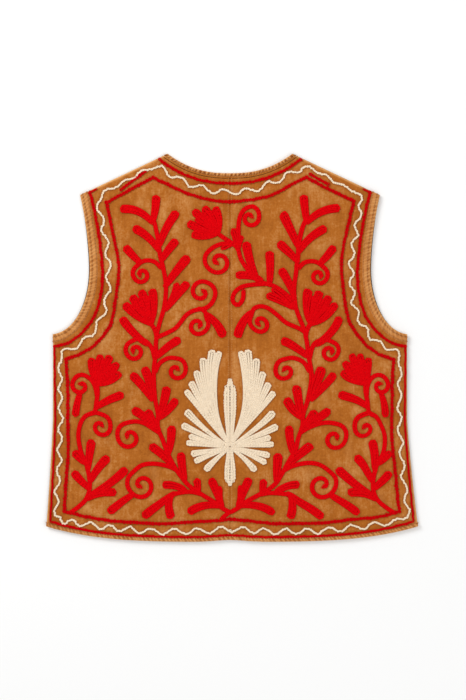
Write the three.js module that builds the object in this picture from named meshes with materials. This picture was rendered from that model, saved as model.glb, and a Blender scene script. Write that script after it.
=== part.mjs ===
// A velvet waistcoat, laid out flat with its back up.
//
// Millimetres. +X runs to the right of the laid garment, +Y from the hem to the neck and +Z up
// from the table. The origin is on the table, under the middle of the garment. Left and right
// are as seen from above.
//
// The two fronts lie on the table. The two halves of the back lie on the fronts and meet at the
// centre back seam. A binding finishes the neck, a band each armhole and a turned strip the hem.

import * as THREE from 'three';

// ---- Driving sizes ----
// Heights along the garment are measured up from the lowest part of the hem.

const LENGTH = 501;
const CENTRE_BACK_LENGTH = 476;
const HALF_HEM = 237;
const HALF_UNDERARM = 228.5;
const HALF_NECK = 80.5;
const SHOULDER_TIP = new THREE.Vector2(193.5, 447.6);

const HEM = { cornerRise: 20, risePower: 3.6, seamLift: 2.5, seamLiftWidth: 25 };
const SIDE = { flareStart: 160, flarePower: 1.2 };
const ARMHOLE = { centreX: 232, centreY: 352, radiusX: 51, radiusY: 84, topPower: 1.7 };
const NECKLINE_POWER = 2.4;

const CLOTH = 2;
const SEAM_GAP = 0.3;
const NECK_BINDING_WIDTH = 5;
const ARMHOLE_BAND_WIDTH = 11;
const HEM_BAND_WIDTH = 5.5;
const BAND_THICKNESS = 3;
const MITRE_REACH = 30;

// The fronts: a narrow gap down the middle, and a V neck that runs up to the neck points.
const FRONT = { centreGap: 10, neckBottom: 250, neckPower: 1.25, hemLift: 2, armholeProud: 1.3 };
const FRONT_CORNER_CLEARANCE = 0.5;

// As laid, the right side's lower part is eased further out than the left's.
const RIGHT_EASE = 5.5;

// Over the V neck no front holds the back up, so it dips towards the table.
const DIP = { depth: 1.7, near: 8, far: 40 };

// How many cells the cloth is divided into along each stretch of its edges.
const BACK_CELLS = { neck: 8, shoulder: 11, side: 20, armhole: 16 };
const FRONT_CELLS = { across: 7, side: 10, armhole: 12 };

// The largest folds. Each is a soft ridge whose middle is at x, y and which runs at angle.
const FOLDS = [
  { x: 2, y: 415, angle: 92, length: 76, width: 15, height: 1.9 },
  { x: -88, y: 402, angle: 74, length: 82, width: 22, height: 1.2 },
  { x: 101, y: 396, angle: 108, length: 96, width: 24, height: 1.4 },
  { x: -140, y: 342, angle: -14, length: 78, width: 14, height: 1.7 },
  { x: 137, y: 330, angle: 19, length: 64, width: 15, height: 1.4 },
  { x: -196, y: 232, angle: 28, length: 62, width: 14, height: 1.4 },
  { x: 190, y: 221, angle: -33, length: 74, width: 15, height: 1.3 },
  { x: -52, y: 236, angle: 97, length: 120, width: 26, height: 1.0 },
  { x: 66, y: 214, angle: 84, length: 132, width: 28, height: 1.1 },
  { x: -151, y: 70, angle: 96, length: 104, width: 20, height: 1.6 },
  { x: -38, y: 46, angle: 88, length: 70, width: 16, height: 1.0 },
  { x: 84, y: 58, angle: 82, length: 88, width: 19, height: 1.4 },
  { x: 181, y: 76, angle: 99, length: 92, width: 18, height: 1.5 },
];

const COLOURS = { back: 0xb5682f, front: 0xa65c27, band: 0xc07e42 };

// ---- The outline of the right half ----

// A line in the plane, given by a function from 0..1 to its x and y.
class FormulaLine extends THREE.Curve {
  constructor(at) {
    super();
    this.at = at;
  }

  getPoint(t, target = new THREE.Vector2()) {
    return target.set(...this.at(t));
  }
}

// How far a height lies down the flared part of the side: 0 at its start, 1 at the hem's corner.
function flareShare(y) {
  const below = Math.max(0, SIDE.flareStart - y) / (SIDE.flareStart - HEM.cornerRise);
  return below ** SIDE.flarePower;
}

const sideX = (y) => HALF_UNDERARM + (HALF_HEM - HALF_UNDERARM) * flareShare(y);

const hemLine = new FormulaLine((t) => {
  const x = HALF_HEM * t;
  const lift = HEM.seamLift * Math.exp(-((x / HEM.seamLiftWidth) ** 2));
  return [x, HEM.cornerRise * t ** HEM.risePower + lift];
});

const neckLine = new FormulaLine((t) => {
  const rise = LENGTH - CENTRE_BACK_LENGTH;
  return [HALF_NECK * t, CENTRE_BACK_LENGTH + rise * t ** NECKLINE_POWER];
});

const underarmAngle = Math.asin((HALF_UNDERARM - ARMHOLE.centreX) / ARMHOLE.radiusX) - Math.PI / 2;
const armholeLine = new THREE.CurvePath();
armholeLine.add(new THREE.EllipseCurve(
  ARMHOLE.centreX, ARMHOLE.centreY, ARMHOLE.radiusX, ARMHOLE.radiusY, underarmAngle, -Math.PI, true,
));
armholeLine.add(new FormulaLine((t) => {
  const deepest = ARMHOLE.centreX - ARMHOLE.radiusX;
  return [
    deepest + (SHOULDER_TIP.x - deepest) * t ** ARMHOLE.topPower,
    ARMHOLE.centreY + (SHOULDER_TIP.y - ARMHOLE.centreY) * t,
  ];
}));

const neckPoint = neckLine.getPoint(1);
const downShoulder = SHOULDER_TIP.clone().sub(neckPoint).normalize();

// Each finished edge, the side its cloth is on, and the seams that it runs between.
const UP = new THREE.Vector2(0, 1);
const DOWN = new THREE.Vector2(0, -1);
const EDGES = {
  hem: { line: hemLine, inwardSide: 1, startSeam: UP, endSeam: UP },
  neck: { line: neckLine, inwardSide: -1, startSeam: DOWN, endSeam: downShoulder },
  armhole: {
    line: armholeLine, inwardSide: 1, startSeam: DOWN, endSeam: downShoulder.clone().negate(),
  },
};

// The point at a distance inside an edge, opposite the edge's place t. Near the edge's ends the
// step inwards turns until it runs along the seam there.
function insideEdge(edge, t, distance) {
  const point = edge.line.getPointAt(t);
  const tangent = edge.line.getTangentAt(t);
  const inward = new THREE.Vector2(-tangent.y, tangent.x).multiplyScalar(edge.inwardSide);
  const length = edge.line.getLength();
  const nearStart = Math.max(0, 1 - (t * length) / MITRE_REACH);
  const nearEnd = Math.max(0, 1 - ((1 - t) * length) / MITRE_REACH);
  const step = inward.clone().multiplyScalar(1 - nearStart - nearEnd);
  step.addScaledVector(edge.startSeam, nearStart);
  step.addScaledVector(edge.endSeam, nearEnd);
  return point.addScaledVector(step, distance / step.dot(inward));
}

// The outline is drawn for the right half. These lay a point of it on either side of the middle.
const layLeft = ({ x, y }) => new THREE.Vector2(-x, y);
const layRight = ({ x, y }) => new THREE.Vector2(x + RIGHT_EASE * flareShare(y) * (x / HALF_HEM), y);

function frontNeckX(y) {
  const climb = Math.max(0, y - FRONT.neckBottom) / (LENGTH - FRONT.neckBottom);
  const start = FRONT.centreGap / 2;
  return start + (HALF_NECK - start) * climb ** FRONT.neckPower;
}

// ---- Heights above the table ----

function foldHeight(fold, x, y) {
  const angle = THREE.MathUtils.degToRad(fold.angle);
  const along = (x - fold.x) * Math.cos(angle) + (y - fold.y) * Math.sin(angle);
  const across = (y - fold.y) * Math.cos(angle) - (x - fold.x) * Math.sin(angle);
  const reach = Math.abs(along) / (fold.length / 2);
  const fade = 1 - THREE.MathUtils.smoothstep(reach, 0.2, 1.2);
  return fold.height * fade * Math.exp(-((across / fold.width) ** 2));
}

function backUnderside(x, y) {
  const folds = FOLDS.reduce((sum, fold) => sum + foldHeight(fold, x, y), 0);
  const insideNeck = frontNeckX(y) - Math.abs(x);
  const dip = DIP.depth * THREE.MathUtils.smoothstep(insideNeck, DIP.near, DIP.far);
  return CLOTH + SEAM_GAP + folds - dip;
}

// ---- Closed solids ----

// A closed mesh from points and triangles, turned so that its faces point out.
function closedGeometry(points, triangles) {
  let volume = 0;
  for (const [a, b, c] of triangles) {
    volume += points[a].dot(new THREE.Vector3().crossVectors(points[b], points[c]));
  }
  const index = volume > 0 ? triangles.flat() : triangles.flatMap(([a, b, c]) => [a, c, b]);
  const geometry = new THREE.BufferGeometry().setFromPoints(points);
  geometry.setIndex(index);
  geometry.computeVertexNormals();
  return geometry;
}

// A sheet of cloth over a grid of plan points, from its underside up to one cloth's thickness.
function sheetGeometry(grid, underside) {
  const rows = grid.length;
  const columns = grid[0].length;
  const points = [];
  for (const layer of [0, CLOTH]) {
    for (const { x, y } of grid.flat()) {
      points.push(new THREE.Vector3(x, y, underside(x, y) + layer));
    }
  }
  const at = (row, column, layer) => (layer * rows + row) * columns + column;
  const triangles = [];
  const quad = (a, b, c, d) => triangles.push([a, b, c], [a, c, d]);
  for (let row = 0; row + 1 < rows; row += 1) {
    for (let column = 0; column + 1 < columns; column += 1) {
      quad(at(row, column, 1), at(row, column + 1, 1), at(row + 1, column + 1, 1), at(row + 1, column, 1));
      quad(at(row, column, 0), at(row + 1, column, 0), at(row + 1, column + 1, 0), at(row, column + 1, 0));
    }
  }
  const rim = (a, b) => quad(at(...a, 0), at(...b, 0), at(...b, 1), at(...a, 1));
  for (let column = 0; column + 1 < columns; column += 1) {
    rim([0, column], [0, column + 1]);
    rim([rows - 1, column + 1], [rows - 1, column]);
  }
  for (let row = 0; row + 1 < rows; row += 1) {
    rim([row, columns - 1], [row + 1, columns - 1]);
    rim([row + 1, 0], [row, 0]);
  }
  return closedGeometry(points, triangles);
}

// A solid that joins sections of equal point counts, one after another, with flat ends.
function loftGeometry(sections) {
  const count = sections[0].length;
  const triangles = [];
  for (let station = 0; station + 1 < sections.length; station += 1) {
    for (let corner = 0; corner < count; corner += 1) {
      const a = station * count + corner;
      const b = station * count + (corner + 1) % count;
      triangles.push([a, b, b + count], [a, b + count, a + count]);
    }
  }
  const last = (sections.length - 1) * count;
  for (let corner = 1; corner + 1 < count; corner += 1) {
    triangles.push([0, corner + 1, corner], [last, last + corner, last + corner + 1]);
  }
  return closedGeometry(sections.flat(), triangles);
}

// ---- Panels ----

const steps = (count) => Array.from({ length: count + 1 }, (_, index) => index / count);

// Plan points of a four-sided panel, filled in between its bottom, top, inner and outer edges.
function fillPanel({ bottom, top, inner, outer }) {
  const rows = steps(inner.length - 1);
  const columns = steps(bottom.length - 1);
  const corners = [bottom[0], bottom.at(-1), top[0], top.at(-1)];
  return rows.map((v, row) => columns.map((u, column) => {
    const weights = [(1 - u) * (1 - v), u * (1 - v), (1 - u) * v, u * v];
    const point = new THREE.Vector2();
    point.addScaledVector(bottom[column], 1 - v);
    point.addScaledVector(top[column], v);
    point.addScaledVector(inner[row], 1 - u);
    point.addScaledVector(outer[row], u);
    corners.forEach((corner, index) => point.addScaledVector(corner, -weights[index]));
    return point;
  }));
}

const between = (from, to, count) => steps(count).map((t) => from.clone().lerp(to, t));

function sideStretch(fromY, toY, count) {
  return steps(count).map((t) => {
    const y = THREE.MathUtils.lerp(fromY, toY, t);
    return new THREE.Vector2(sideX(y), y);
  });
}

// The right half of the back, inside the neck binding, the armhole band and the hem band.
function backPlan() {
  const cells = BACK_CELLS;
  const seamX = SEAM_GAP / 2;
  const inside = (edge, count, width) => (
    steps(count).map((t) => insideEdge(edge, t, width + SEAM_GAP))
  );
  const bottom = inside(EDGES.hem, cells.neck + cells.shoulder, HEM_BAND_WIDTH);
  const neck = inside(EDGES.neck, cells.neck, NECK_BINDING_WIDTH);
  const armhole = inside(EDGES.armhole, cells.armhole, ARMHOLE_BAND_WIDTH);
  bottom[0].x = seamX;
  neck[0].x = seamX;
  const shoulder = between(neck.at(-1), armhole.at(-1), cells.shoulder);
  const side = sideStretch(bottom.at(-1).y, armhole[0].y, cells.side);
  side[0] = bottom.at(-1);
  side[cells.side] = armhole[0];
  const top = [...neck, ...shoulder.slice(1)];
  const outer = [...side, ...armhole.slice(1)];
  return fillPanel({ bottom, top, inner: between(bottom[0], top[0], outer.length - 1), outer });
}

// The right front: plain, with the V neck as its inner edge above the centre.
function frontPlan() {
  const cells = FRONT_CELLS;
  const centreX = FRONT.centreGap / 2;
  const bottom = steps(cells.across).map((t) => {
    const point = hemLine.getPoint(THREE.MathUtils.lerp(centreX / HALF_HEM, 1, t));
    return point.setY(point.y + FRONT.hemLift);
  });
  bottom.at(-1).x = sideX(bottom.at(-1).y);
  const armhole = steps(cells.armhole).map((t) => {
    const proud = FRONT.armholeProud * Math.sin(Math.PI * t);
    return insideEdge(EDGES.armhole, t, FRONT_CORNER_CLEARANCE - proud);
  });
  const side = sideStretch(bottom.at(-1).y, armhole[0].y, cells.side);
  side[cells.side] = armhole[0];
  const neckFoot = new THREE.Vector2(centreX, FRONT.neckBottom);
  const neck = steps(cells.armhole).map((t) => {
    const y = THREE.MathUtils.lerp(FRONT.neckBottom, LENGTH, t);
    return new THREE.Vector2(frontNeckX(y), y);
  });
  const inner = [...between(bottom[0], neckFoot, cells.side), ...neck.slice(1)];
  const outer = [...side, ...armhole.slice(1)];
  const top = between(inner.at(-1), outer.at(-1), cells.across);
  return fillPanel({ bottom, top, inner, outer });
}

// ---- Bands ----

// A band's section: how far in from the edge and how high, as shares of its width and thickness.
const BAND_SECTION = [
  { across: 0.1, high: 0 },
  { across: 0.9, high: 0 },
  { across: 1, high: 0.25 },
  { across: 1, high: 0.8 },
  { across: 0.8, high: 1 },
  { across: 0.25, high: 1 },
  { across: 0, high: 0.75 },
  { across: 0, high: 0.25 },
];

function bandSection(edge, t, width, lay) {
  return BAND_SECTION.map(({ across, high }) => {
    const { x, y } = lay(insideEdge(edge, t, across * width));
    return new THREE.Vector3(x, y, backUnderside(x, y) + high * BAND_THICKNESS);
  });
}

// A band that crosses the middle of the back, from the left end of its edge to the right.
function crossingBand(edge, count, width) {
  const right = steps(count).map((t) => bandSection(edge, t, width, layRight));
  const left = steps(count).slice(1).reverse().map((t) => bandSection(edge, t, width, layLeft));
  return loftGeometry([...left, ...right]);
}

// ---- The waistcoat ----

function clothMesh(name, geometry, colour) {
  const material = new THREE.MeshStandardMaterial({ color: colour, roughness: 0.95, metalness: 0 });
  const mesh = new THREE.Mesh(geometry, material);
  mesh.name = name;
  return mesh;
}

// The right side's ease would leave the box off centre, so half of it is taken off again.
const waistcoat = new THREE.Group();
waistcoat.position.set(-RIGHT_EASE / 2, -LENGTH / 2, 0);

const SIDES = [{ name: 'left', lay: layLeft }, { name: 'right', lay: layRight }];

for (const { name, lay } of SIDES) {
  const front = frontPlan().map((row) => row.map(lay));
  waistcoat.add(clothMesh(`front_${name}`, sheetGeometry(front, () => 0), COLOURS.front));

  const back = backPlan().map((row) => row.map(lay));
  waistcoat.add(clothMesh(`back_${name}`, sheetGeometry(back, backUnderside), COLOURS.back));

  const stations = steps(BACK_CELLS.armhole);
  const band = stations.map((t) => bandSection(EDGES.armhole, t, ARMHOLE_BAND_WIDTH, lay));
  waistcoat.add(clothMesh(`armhole_band_${name}`, loftGeometry(band), COLOURS.band));
}

const neckBinding = crossingBand(EDGES.neck, BACK_CELLS.neck, NECK_BINDING_WIDTH);
waistcoat.add(clothMesh('neck_binding', neckBinding, COLOURS.band));

const hemCells = BACK_CELLS.neck + BACK_CELLS.shoulder;
const hemBand = crossingBand(EDGES.hem, hemCells, HEM_BAND_WIDTH);
waistcoat.add(clothMesh('hem_band', hemBand, COLOURS.band));

export default waistcoat;
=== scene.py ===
import math
from collections import namedtuple
from functools import cache

import bpy
import numpy as np
from mathutils.kdtree import KDTree
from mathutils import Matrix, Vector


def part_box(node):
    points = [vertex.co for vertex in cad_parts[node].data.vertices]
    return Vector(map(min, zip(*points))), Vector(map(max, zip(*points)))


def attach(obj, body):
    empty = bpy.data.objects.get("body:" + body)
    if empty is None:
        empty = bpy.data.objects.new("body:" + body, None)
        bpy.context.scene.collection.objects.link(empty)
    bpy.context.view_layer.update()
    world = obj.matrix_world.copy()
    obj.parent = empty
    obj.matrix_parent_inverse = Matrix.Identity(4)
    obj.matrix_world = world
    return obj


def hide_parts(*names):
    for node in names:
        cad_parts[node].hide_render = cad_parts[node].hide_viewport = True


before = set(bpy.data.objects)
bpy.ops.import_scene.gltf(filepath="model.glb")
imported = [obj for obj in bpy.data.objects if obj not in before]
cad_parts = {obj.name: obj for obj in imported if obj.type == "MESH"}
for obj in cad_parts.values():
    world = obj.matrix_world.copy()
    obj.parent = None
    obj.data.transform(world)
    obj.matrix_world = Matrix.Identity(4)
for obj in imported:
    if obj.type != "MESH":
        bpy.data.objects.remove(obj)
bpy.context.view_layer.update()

bl_info = {
    "name": "Embroidered Waistcoat",
    "version": (1, 0, 0),
    "blender": (4, 5, 0),
    "location": "3D View > Sidebar > Waistcoat",
    "description": "Builds an embroidered velvet waistcoat, laid out flat with its back up",
    "category": "Object",
}

# ---- Sizes, in millimetres ----
# The plan of the garment is drawn in its own millimetres: x from the centre back seam to the
# right, y up from the lowest part of the hem. "Out" is the distance from the seam on either side.

MM = 0.001
SIDES = {"left": -1, "right": 1}
LENGTH = 501.0
CENTRE_BACK_LENGTH = 476.0
HALF_HEM = 237.0
HALF_UNDERARM = 228.5
HALF_NECK = 80.5
SHOULDER_TIP = (193.5, 447.6)
HEM_CORNER_RISE, HEM_RISE_POWER = 20.0, 3.6
HEM_SEAM_LIFT, HEM_SEAM_LIFT_WIDTH = 2.5, 25.0
FLARE_START, FLARE_POWER, RIGHT_EASE = 160.0, 1.2, 5.5
ARMHOLE_CENTRE, ARMHOLE_RADII, ARMHOLE_TOP_POWER = (232.0, 352.0), (51.0, 84.0), 1.7
NECKLINE_POWER = 2.4
FRONT_GAP, FRONT_NECK_BOTTOM, FRONT_NECK_POWER = 10.0, 250.0, 1.25
FRONT_HEM_LIFT, FRONT_PROUD = 2.0, 1.7
DIP_DEPTH, DIP_NEAR, DIP_FAR = 1.7, 8.0, 40.0
CLOTH, SEAM_GAP = 2.0, 0.3
BAND_THICKNESS = 3.0
NECK_BINDING_WIDTH, ARMHOLE_BAND_WIDTH, HEM_BAND_WIDTH = 5.0, 11.0, 5.5
MITRE_REACH = 30.0

# Where the plan lies in the frame.
SEAM_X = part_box("back_left")[1].x / MM + SEAM_GAP / 2
DATUM_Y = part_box("neck_binding")[1].y / MM - LENGTH
TABLE_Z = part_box("front_left")[0].z / MM
FRONT_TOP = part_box("front_left")[1].z / MM

# The largest folds, which the solids have too: soft ridges that run at an angle in degrees.
Fold = namedtuple("Fold", "x y angle length width height")
FOLDS = [Fold(*row) for row in (
    (2, 415, 92, 76, 15, 1.9), (-88, 402, 74, 82, 22, 1.2), (101, 396, 108, 96, 24, 1.4),
    (-140, 342, -14, 78, 14, 1.7), (137, 330, 19, 64, 15, 1.4), (-196, 232, 28, 62, 14, 1.4),
    (190, 221, -33, 74, 15, 1.3), (-52, 236, 97, 120, 26, 1.0), (66, 214, 84, 132, 28, 1.1),
    (-151, 70, 96, 104, 20, 1.6), (-38, 46, 88, 70, 16, 1.0), (84, 58, 82, 88, 19, 1.4),
    (181, 76, 99, 92, 18, 1.5),
)]

# Finer creases: gathers under the neck, drags at the armholes, and soft troughs in the panels.
CREASES = [Fold(*row) for row in (
    (-4, 429, 96, 34, 3.4, -0.9), (7, 431, 82, 28, 3.0, 0.8), (-17, 433, 101, 26, 3.6, 0.6),
    (19, 434, 77, 30, 3.2, -0.7), (-35, 437, 104, 30, 3.8, -0.7), (37, 436, 71, 24, 3.4, 0.5),
    (-54, 440, 109, 36, 4.2, 0.7), (55, 443, 68, 32, 4.0, -0.6), (-76, 446, 113, 30, 4.0, -0.6),
    (77, 450, 64, 28, 3.8, 0.6), (-118, 436, 62, 40, 5.0, 0.8), (-136, 428, 70, 34, 4.4, -0.7),
    (124, 431, 118, 46, 5.4, 0.7), (143, 420, 111, 30, 4.2, -0.6), (-123, 391, 12, 42, 4.4, -0.7),
    (118, 378, -9, 50, 5.0, 0.7), (-148, 357, -6, 36, 4.0, 0.8), (150, 342, 8, 44, 4.6, -0.8),
    (-12, 377, 88, 48, 4.8, 0.6), (-57, 394, 81, 40, 5.0, -0.6), (31, 301, 94, 60, 5.6, 0.6),
    (-22, 270, 86, 54, 5.2, -0.6), (-161, 262, 38, 46, 4.8, 0.9), (163, 249, -41, 52, 5.0, -0.8),
    (-124, 200, 64, 58, 5.6, -0.6), (121, 187, 112, 50, 5.4, 0.7), (-208, 171, 80, 62, 5.0, 0.8),
    (206, 158, 101, 54, 4.8, -0.7), (-156, 137, 88, 44, 5.2, -0.7), (153, 118, 96, 50, 5.0, 0.7),
    (-98, 92, 101, 46, 5.0, 0.7), (104, 88, 86, 40, 4.8, -0.6), (-20, 58, 82, 38, 4.4, -0.7),
    (27, 66, 99, 44, 4.6, 0.6), (-186, 48, 84, 36, 4.2, 0.8), (196, 52, 94, 38, 4.4, 0.8),
    (-70, 38, 97, 30, 4.2, 0.6), (132, 40, 85, 32, 4.4, -0.7),
)]

STITCH_WIDTH = 3.0
LANE_STEP = 2.8
STEM_HALF_STEP = 1.2
NECK_LINE_WIDTH, HEM_LINE_WIDTH, SIDE_LINE_WIDTH, INNER_LINE_WIDTH = 4.8, 3.9, 2.9, 5.3
WAVE_WIDTH = 2.9
LEAF_EASE = 0.7


# ---- Lines on the plan ----

def smoothstep(value, low, high):
    share = np.clip((np.asarray(value, float) - low) / (high - low), 0, 1)
    return share * share * (3 - 2 * share)


def run_of(points):
    """How far along a line each of its points lies."""
    return np.concatenate([[0], np.cumsum(np.linalg.norm(np.diff(points, axis=0), axis=1))])


def at_run(points, runs, values=None):
    """The points at distances along a line, or values of its points, read at those distances."""
    own = run_of(points)
    values = points if values is None else values
    return np.stack([np.interp(runs, own, column) for column in values.T], axis=1)


def evenly(points, step):
    """The same line with its points about a step apart."""
    total = run_of(points)[-1]
    return at_run(points, np.linspace(0, total, max(2, int(round(total / step)) + 1)))


def smooth_line(points, step=1.0):
    """A smooth line through a few points, by Catmull and Rom's rule."""
    p = np.asarray(points, float)
    if len(p) == 2:
        return evenly(p, step)
    p = np.vstack([2 * p[0] - p[1], p, 2 * p[-1] - p[-2]])
    t = np.linspace(0, 1, 24, endpoint=False)[:, None]
    parts = []
    for a, b, c, d in zip(p, p[1:], p[2:], p[3:]):
        bend = 2 * a - 5 * b + 4 * c - d
        twist = 3 * b - a - 3 * c + d
        parts.append(0.5 * (2 * b + (c - a) * t + bend * t ** 2 + twist * t ** 3))
    return evenly(np.vstack(parts + [p[-2:-1]]), step)


def headings(points):
    """The unit direction of a line at each of its points."""
    d = np.gradient(points, axis=0)
    return d / np.maximum(np.linalg.norm(d, axis=1, keepdims=True), 1e-9)


def left_of(points):
    """The unit step to the left of a line at each of its points."""
    d = headings(points)
    return np.stack([-d[:, 1], d[:, 0]], axis=1)


# ---- The outline of the garment's right half ----

def flare_share(y):
    below = np.maximum(0, FLARE_START - np.asarray(y, float)) / (FLARE_START - HEM_CORNER_RISE)
    return below ** FLARE_POWER


def side_x(y):
    return HALF_UNDERARM + (HALF_HEM - HALF_UNDERARM) * flare_share(y)


def hem_y(x):
    share = np.abs(x) / HALF_HEM
    lift = HEM_SEAM_LIFT * np.exp(-((np.asarray(x, float) / HEM_SEAM_LIFT_WIDTH) ** 2))
    return HEM_CORNER_RISE * share ** HEM_RISE_POWER + lift


def hem_line():
    x = np.linspace(0, HALF_HEM, 400)
    return np.stack([x, hem_y(x)], axis=1)


def neck_line():
    t = np.linspace(0, 1, 400)
    rise = LENGTH - CENTRE_BACK_LENGTH
    return np.stack([HALF_NECK * t, CENTRE_BACK_LENGTH + rise * t ** NECKLINE_POWER], axis=1)


def armhole_line():
    (cx, cy), (rx, ry) = ARMHOLE_CENTRE, ARMHOLE_RADII
    start = math.asin((HALF_UNDERARM - cx) / rx) - math.pi / 2
    a = np.linspace(start, -math.pi, 300)
    lower = np.stack([cx + rx * np.cos(a), cy + ry * np.sin(a)], axis=1)
    t = np.linspace(0, 1, 300)[1:]
    deepest = cx - rx
    upper_x = deepest + (SHOULDER_TIP[0] - deepest) * t ** ARMHOLE_TOP_POWER
    upper = np.stack([upper_x, cy + (SHOULDER_TIP[1] - cy) * t], axis=1)
    return np.vstack([lower, upper])


DOWN_SHOULDER = np.subtract(SHOULDER_TIP, (HALF_NECK, LENGTH))
DOWN_SHOULDER /= np.linalg.norm(DOWN_SHOULDER)


class Edge:
    """A finished edge, the side its cloth is on, and the seams that it runs between."""

    def __init__(self, line, inward_side, start_seam, end_seam):
        self.line = evenly(line, 0.5)
        self.length = run_of(self.line)[-1]
        self.inward = left_of(self.line) * inward_side
        self.start_seam = np.asarray(start_seam, float)
        self.end_seam = np.asarray(end_seam, float)

    def inside(self, t, distance):
        """Points at a distance inside the edge, turned along the seams near its ends."""
        t = np.atleast_1d(np.asarray(t, float))
        runs = t * self.length
        point = at_run(self.line, runs)
        inward = at_run(self.line, runs, self.inward)
        near_start = np.maximum(0, 1 - runs / MITRE_REACH)[:, None]
        near_end = np.maximum(0, 1 - (self.length - runs) / MITRE_REACH)[:, None]
        step = inward * (1 - near_start - near_end)
        step = step + self.start_seam * near_start + self.end_seam * near_end
        reach = np.broadcast_to(np.asarray(distance, float), t.shape)
        return point + step * (reach / (step * inward).sum(axis=1))[:, None]


HEM = Edge(hem_line(), 1, (0, 1), (0, 1))
NECK = Edge(neck_line(), -1, (0, -1), DOWN_SHOULDER)
ARMHOLE = Edge(armhole_line(), 1, (0, -1), -DOWN_SHOULDER)


def lay(points, side):
    """Lays plan points of the right half on a side: -1 is left and 1 is right."""
    points = np.array(points, float)
    if side > 0:
        points[..., 0] += RIGHT_EASE * flare_share(points[..., 1]) * points[..., 0] / HALF_HEM
    else:
        points[..., 0] = -points[..., 0]
    return points


def front_neck_x(y):
    climb = np.clip((y - FRONT_NECK_BOTTOM) / (LENGTH - FRONT_NECK_BOTTOM), 0, 1)
    return FRONT_GAP / 2 + (HALF_NECK - FRONT_GAP / 2) * climb ** FRONT_NECK_POWER


# ---- Heights above the table ----

def ridges(table, x, y):
    height = np.zeros(np.shape(x))
    for f in table:
        angle = math.radians(f.angle)
        along = (x - f.x) * math.cos(angle) + (y - f.y) * math.sin(angle)
        across = (y - f.y) * math.cos(angle) - (x - f.x) * math.sin(angle)
        fade = 1 - smoothstep(np.abs(along) / (f.length / 2), 0.2, 1.2)
        height += f.height * fade * np.exp(-((across / f.width) ** 2))
    return height


def back_underside(x, y):
    dip = DIP_DEPTH * smoothstep(front_neck_x(y) - np.abs(x), DIP_NEAR, DIP_FAR)
    return TABLE_Z + FRONT_TOP + SEAM_GAP + ridges(FOLDS, x, y) - dip


SEAM_ROLL, SEAM_ROLL_DROP = 2.2, 0.8
SEAM_GROOVE, SEAM_GROOVE_WIDTH = 0.45, 0.8


def rolled(distance, radius):
    """How much of its full height a rolled edge has, at distances in from the edge."""
    return np.sqrt(1 - (1 - np.clip(distance / radius, 0, 1)) ** 2)


def seam_distances(x, y):
    """How far points are from the side seam and from the shoulder seam."""
    ease = np.where(x > 0, RIGHT_EASE * flare_share(y), 0)
    side = side_x(y) + ease - np.abs(x)
    across = (np.abs(x) - HALF_NECK) * DOWN_SHOULDER[1] - (y - LENGTH) * DOWN_SHOULDER[0]
    return side, across


def back_top(x, y):
    """The back's upper face, before the thread pulls it down."""
    top = back_underside(x, y) + CLOTH + ridges(CREASES, x, y)
    side, shoulder = seam_distances(x, y)
    top -= CLOTH * SEAM_ROLL_DROP * (1 - rolled(np.minimum(side, shoulder), SEAM_ROLL))
    return top - SEAM_GROOVE * np.exp(-((x / SEAM_GROOVE_WIDTH) ** 2))


def to_frame(x, y, z):
    """Plan millimetres as metres in the frame."""
    return np.stack([(x + SEAM_X) * MM, (y + DATUM_Y) * MM, z * MM], axis=-1)


# ---- Rows of stitches ----
# A row is a line on the laid garment and the width of its stitches, one or one for each point.

Row = namedtuple("Row", "line width")


def bent(base, tip, bend):
    """A curve from base to tip that bows to its left by bend."""
    base, tip = np.asarray(base, float), np.asarray(tip, float)
    across = np.array([base[1] - tip[1], tip[0] - base[0]]) / np.linalg.norm(tip - base)
    t = np.linspace(0, 1, 60)[:, None]
    return base + (tip - base) * t + across * bend * 4 * t * (1 - t)


# How nested lanes of stitches fill a leaf: the room that the first lane and the others need, the
# last lane's inset past the middle, the least half width of a lane, and when one row is enough.
FIRST_LANE_ROOM, LANE_ROOM, LAST_LANE, LEAST_LANE, ONE_ROW = 0.15, -1.3, -0.8, 0.25, 1.1


def finger(spine, half, base_half=3.3, swell=0.55, start=0.0):
    """Rows that fill a leaf or petal: one round its outline and more nested inside it."""
    spine = evenly(np.asarray(spine, float), 0.5)
    run = run_of(spine)
    total = run[-1]
    body = base_half + (half - base_half) * (run / total) ** swell
    left = left_of(spine)
    rows = []
    inset = STITCH_WIDTH / 2
    while half - inset > LAST_LANE:
        lane_end = max(half - inset, 0.1)
        past = np.clip(run - (total - half), 0, lane_end)
        lane = np.minimum(body - inset, np.sqrt(lane_end ** 2 - past ** 2))
        room = lane > (FIRST_LANE_ROOM if inset < LANE_STEP else LANE_ROOM)
        lane = np.maximum(lane, LEAST_LANE)
        use = room & (run >= start * total) & (run <= total - inset)
        if lane_end < ONE_ROW:
            line = spine[use]
        else:
            up = (spine + left * lane[:, None])[use]
            down = (spine - left * lane[:, None])[use][::-1]
            line = np.vstack([up, down])
        if len(line) > 5:
            rows.append(Row(evenly(line, 1.0), STITCH_WIDTH))
        inset += LANE_STEP
    return rows


# The unevenness of handwork, as waves that add up: (size, reach, start).
TREMOR = ((1.0, 0.83, 0), (0.8, 1.37, 2), (0.7, 2.9, 1))
DRIFT_OUT = ((0.9, 37, 1.3), (0.5, 13, 1))
DRIFT_UP = ((0.9, 31, 2.1), (0.4, 11, 0))


def uneven(waves, run, side=1):
    return sum(size * np.sin(run / reach + start * side) for size, reach, start in waves)


def trembled(line, size):
    """A line with the small unevenness of stitches set by eye."""
    run = run_of(line)
    sway = size * uneven(TREMOR, run + line[0, 0]) * smoothstep(run, 0, 4)
    return line + left_of(line) * sway[:, None]


def twin(line):
    """A stem: two rows of stitches side by side."""
    step = left_of(line) * STEM_HALF_STEP
    return [Row(line + step, STITCH_WIDTH), Row(line - step, STITCH_WIDTH)]


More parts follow.
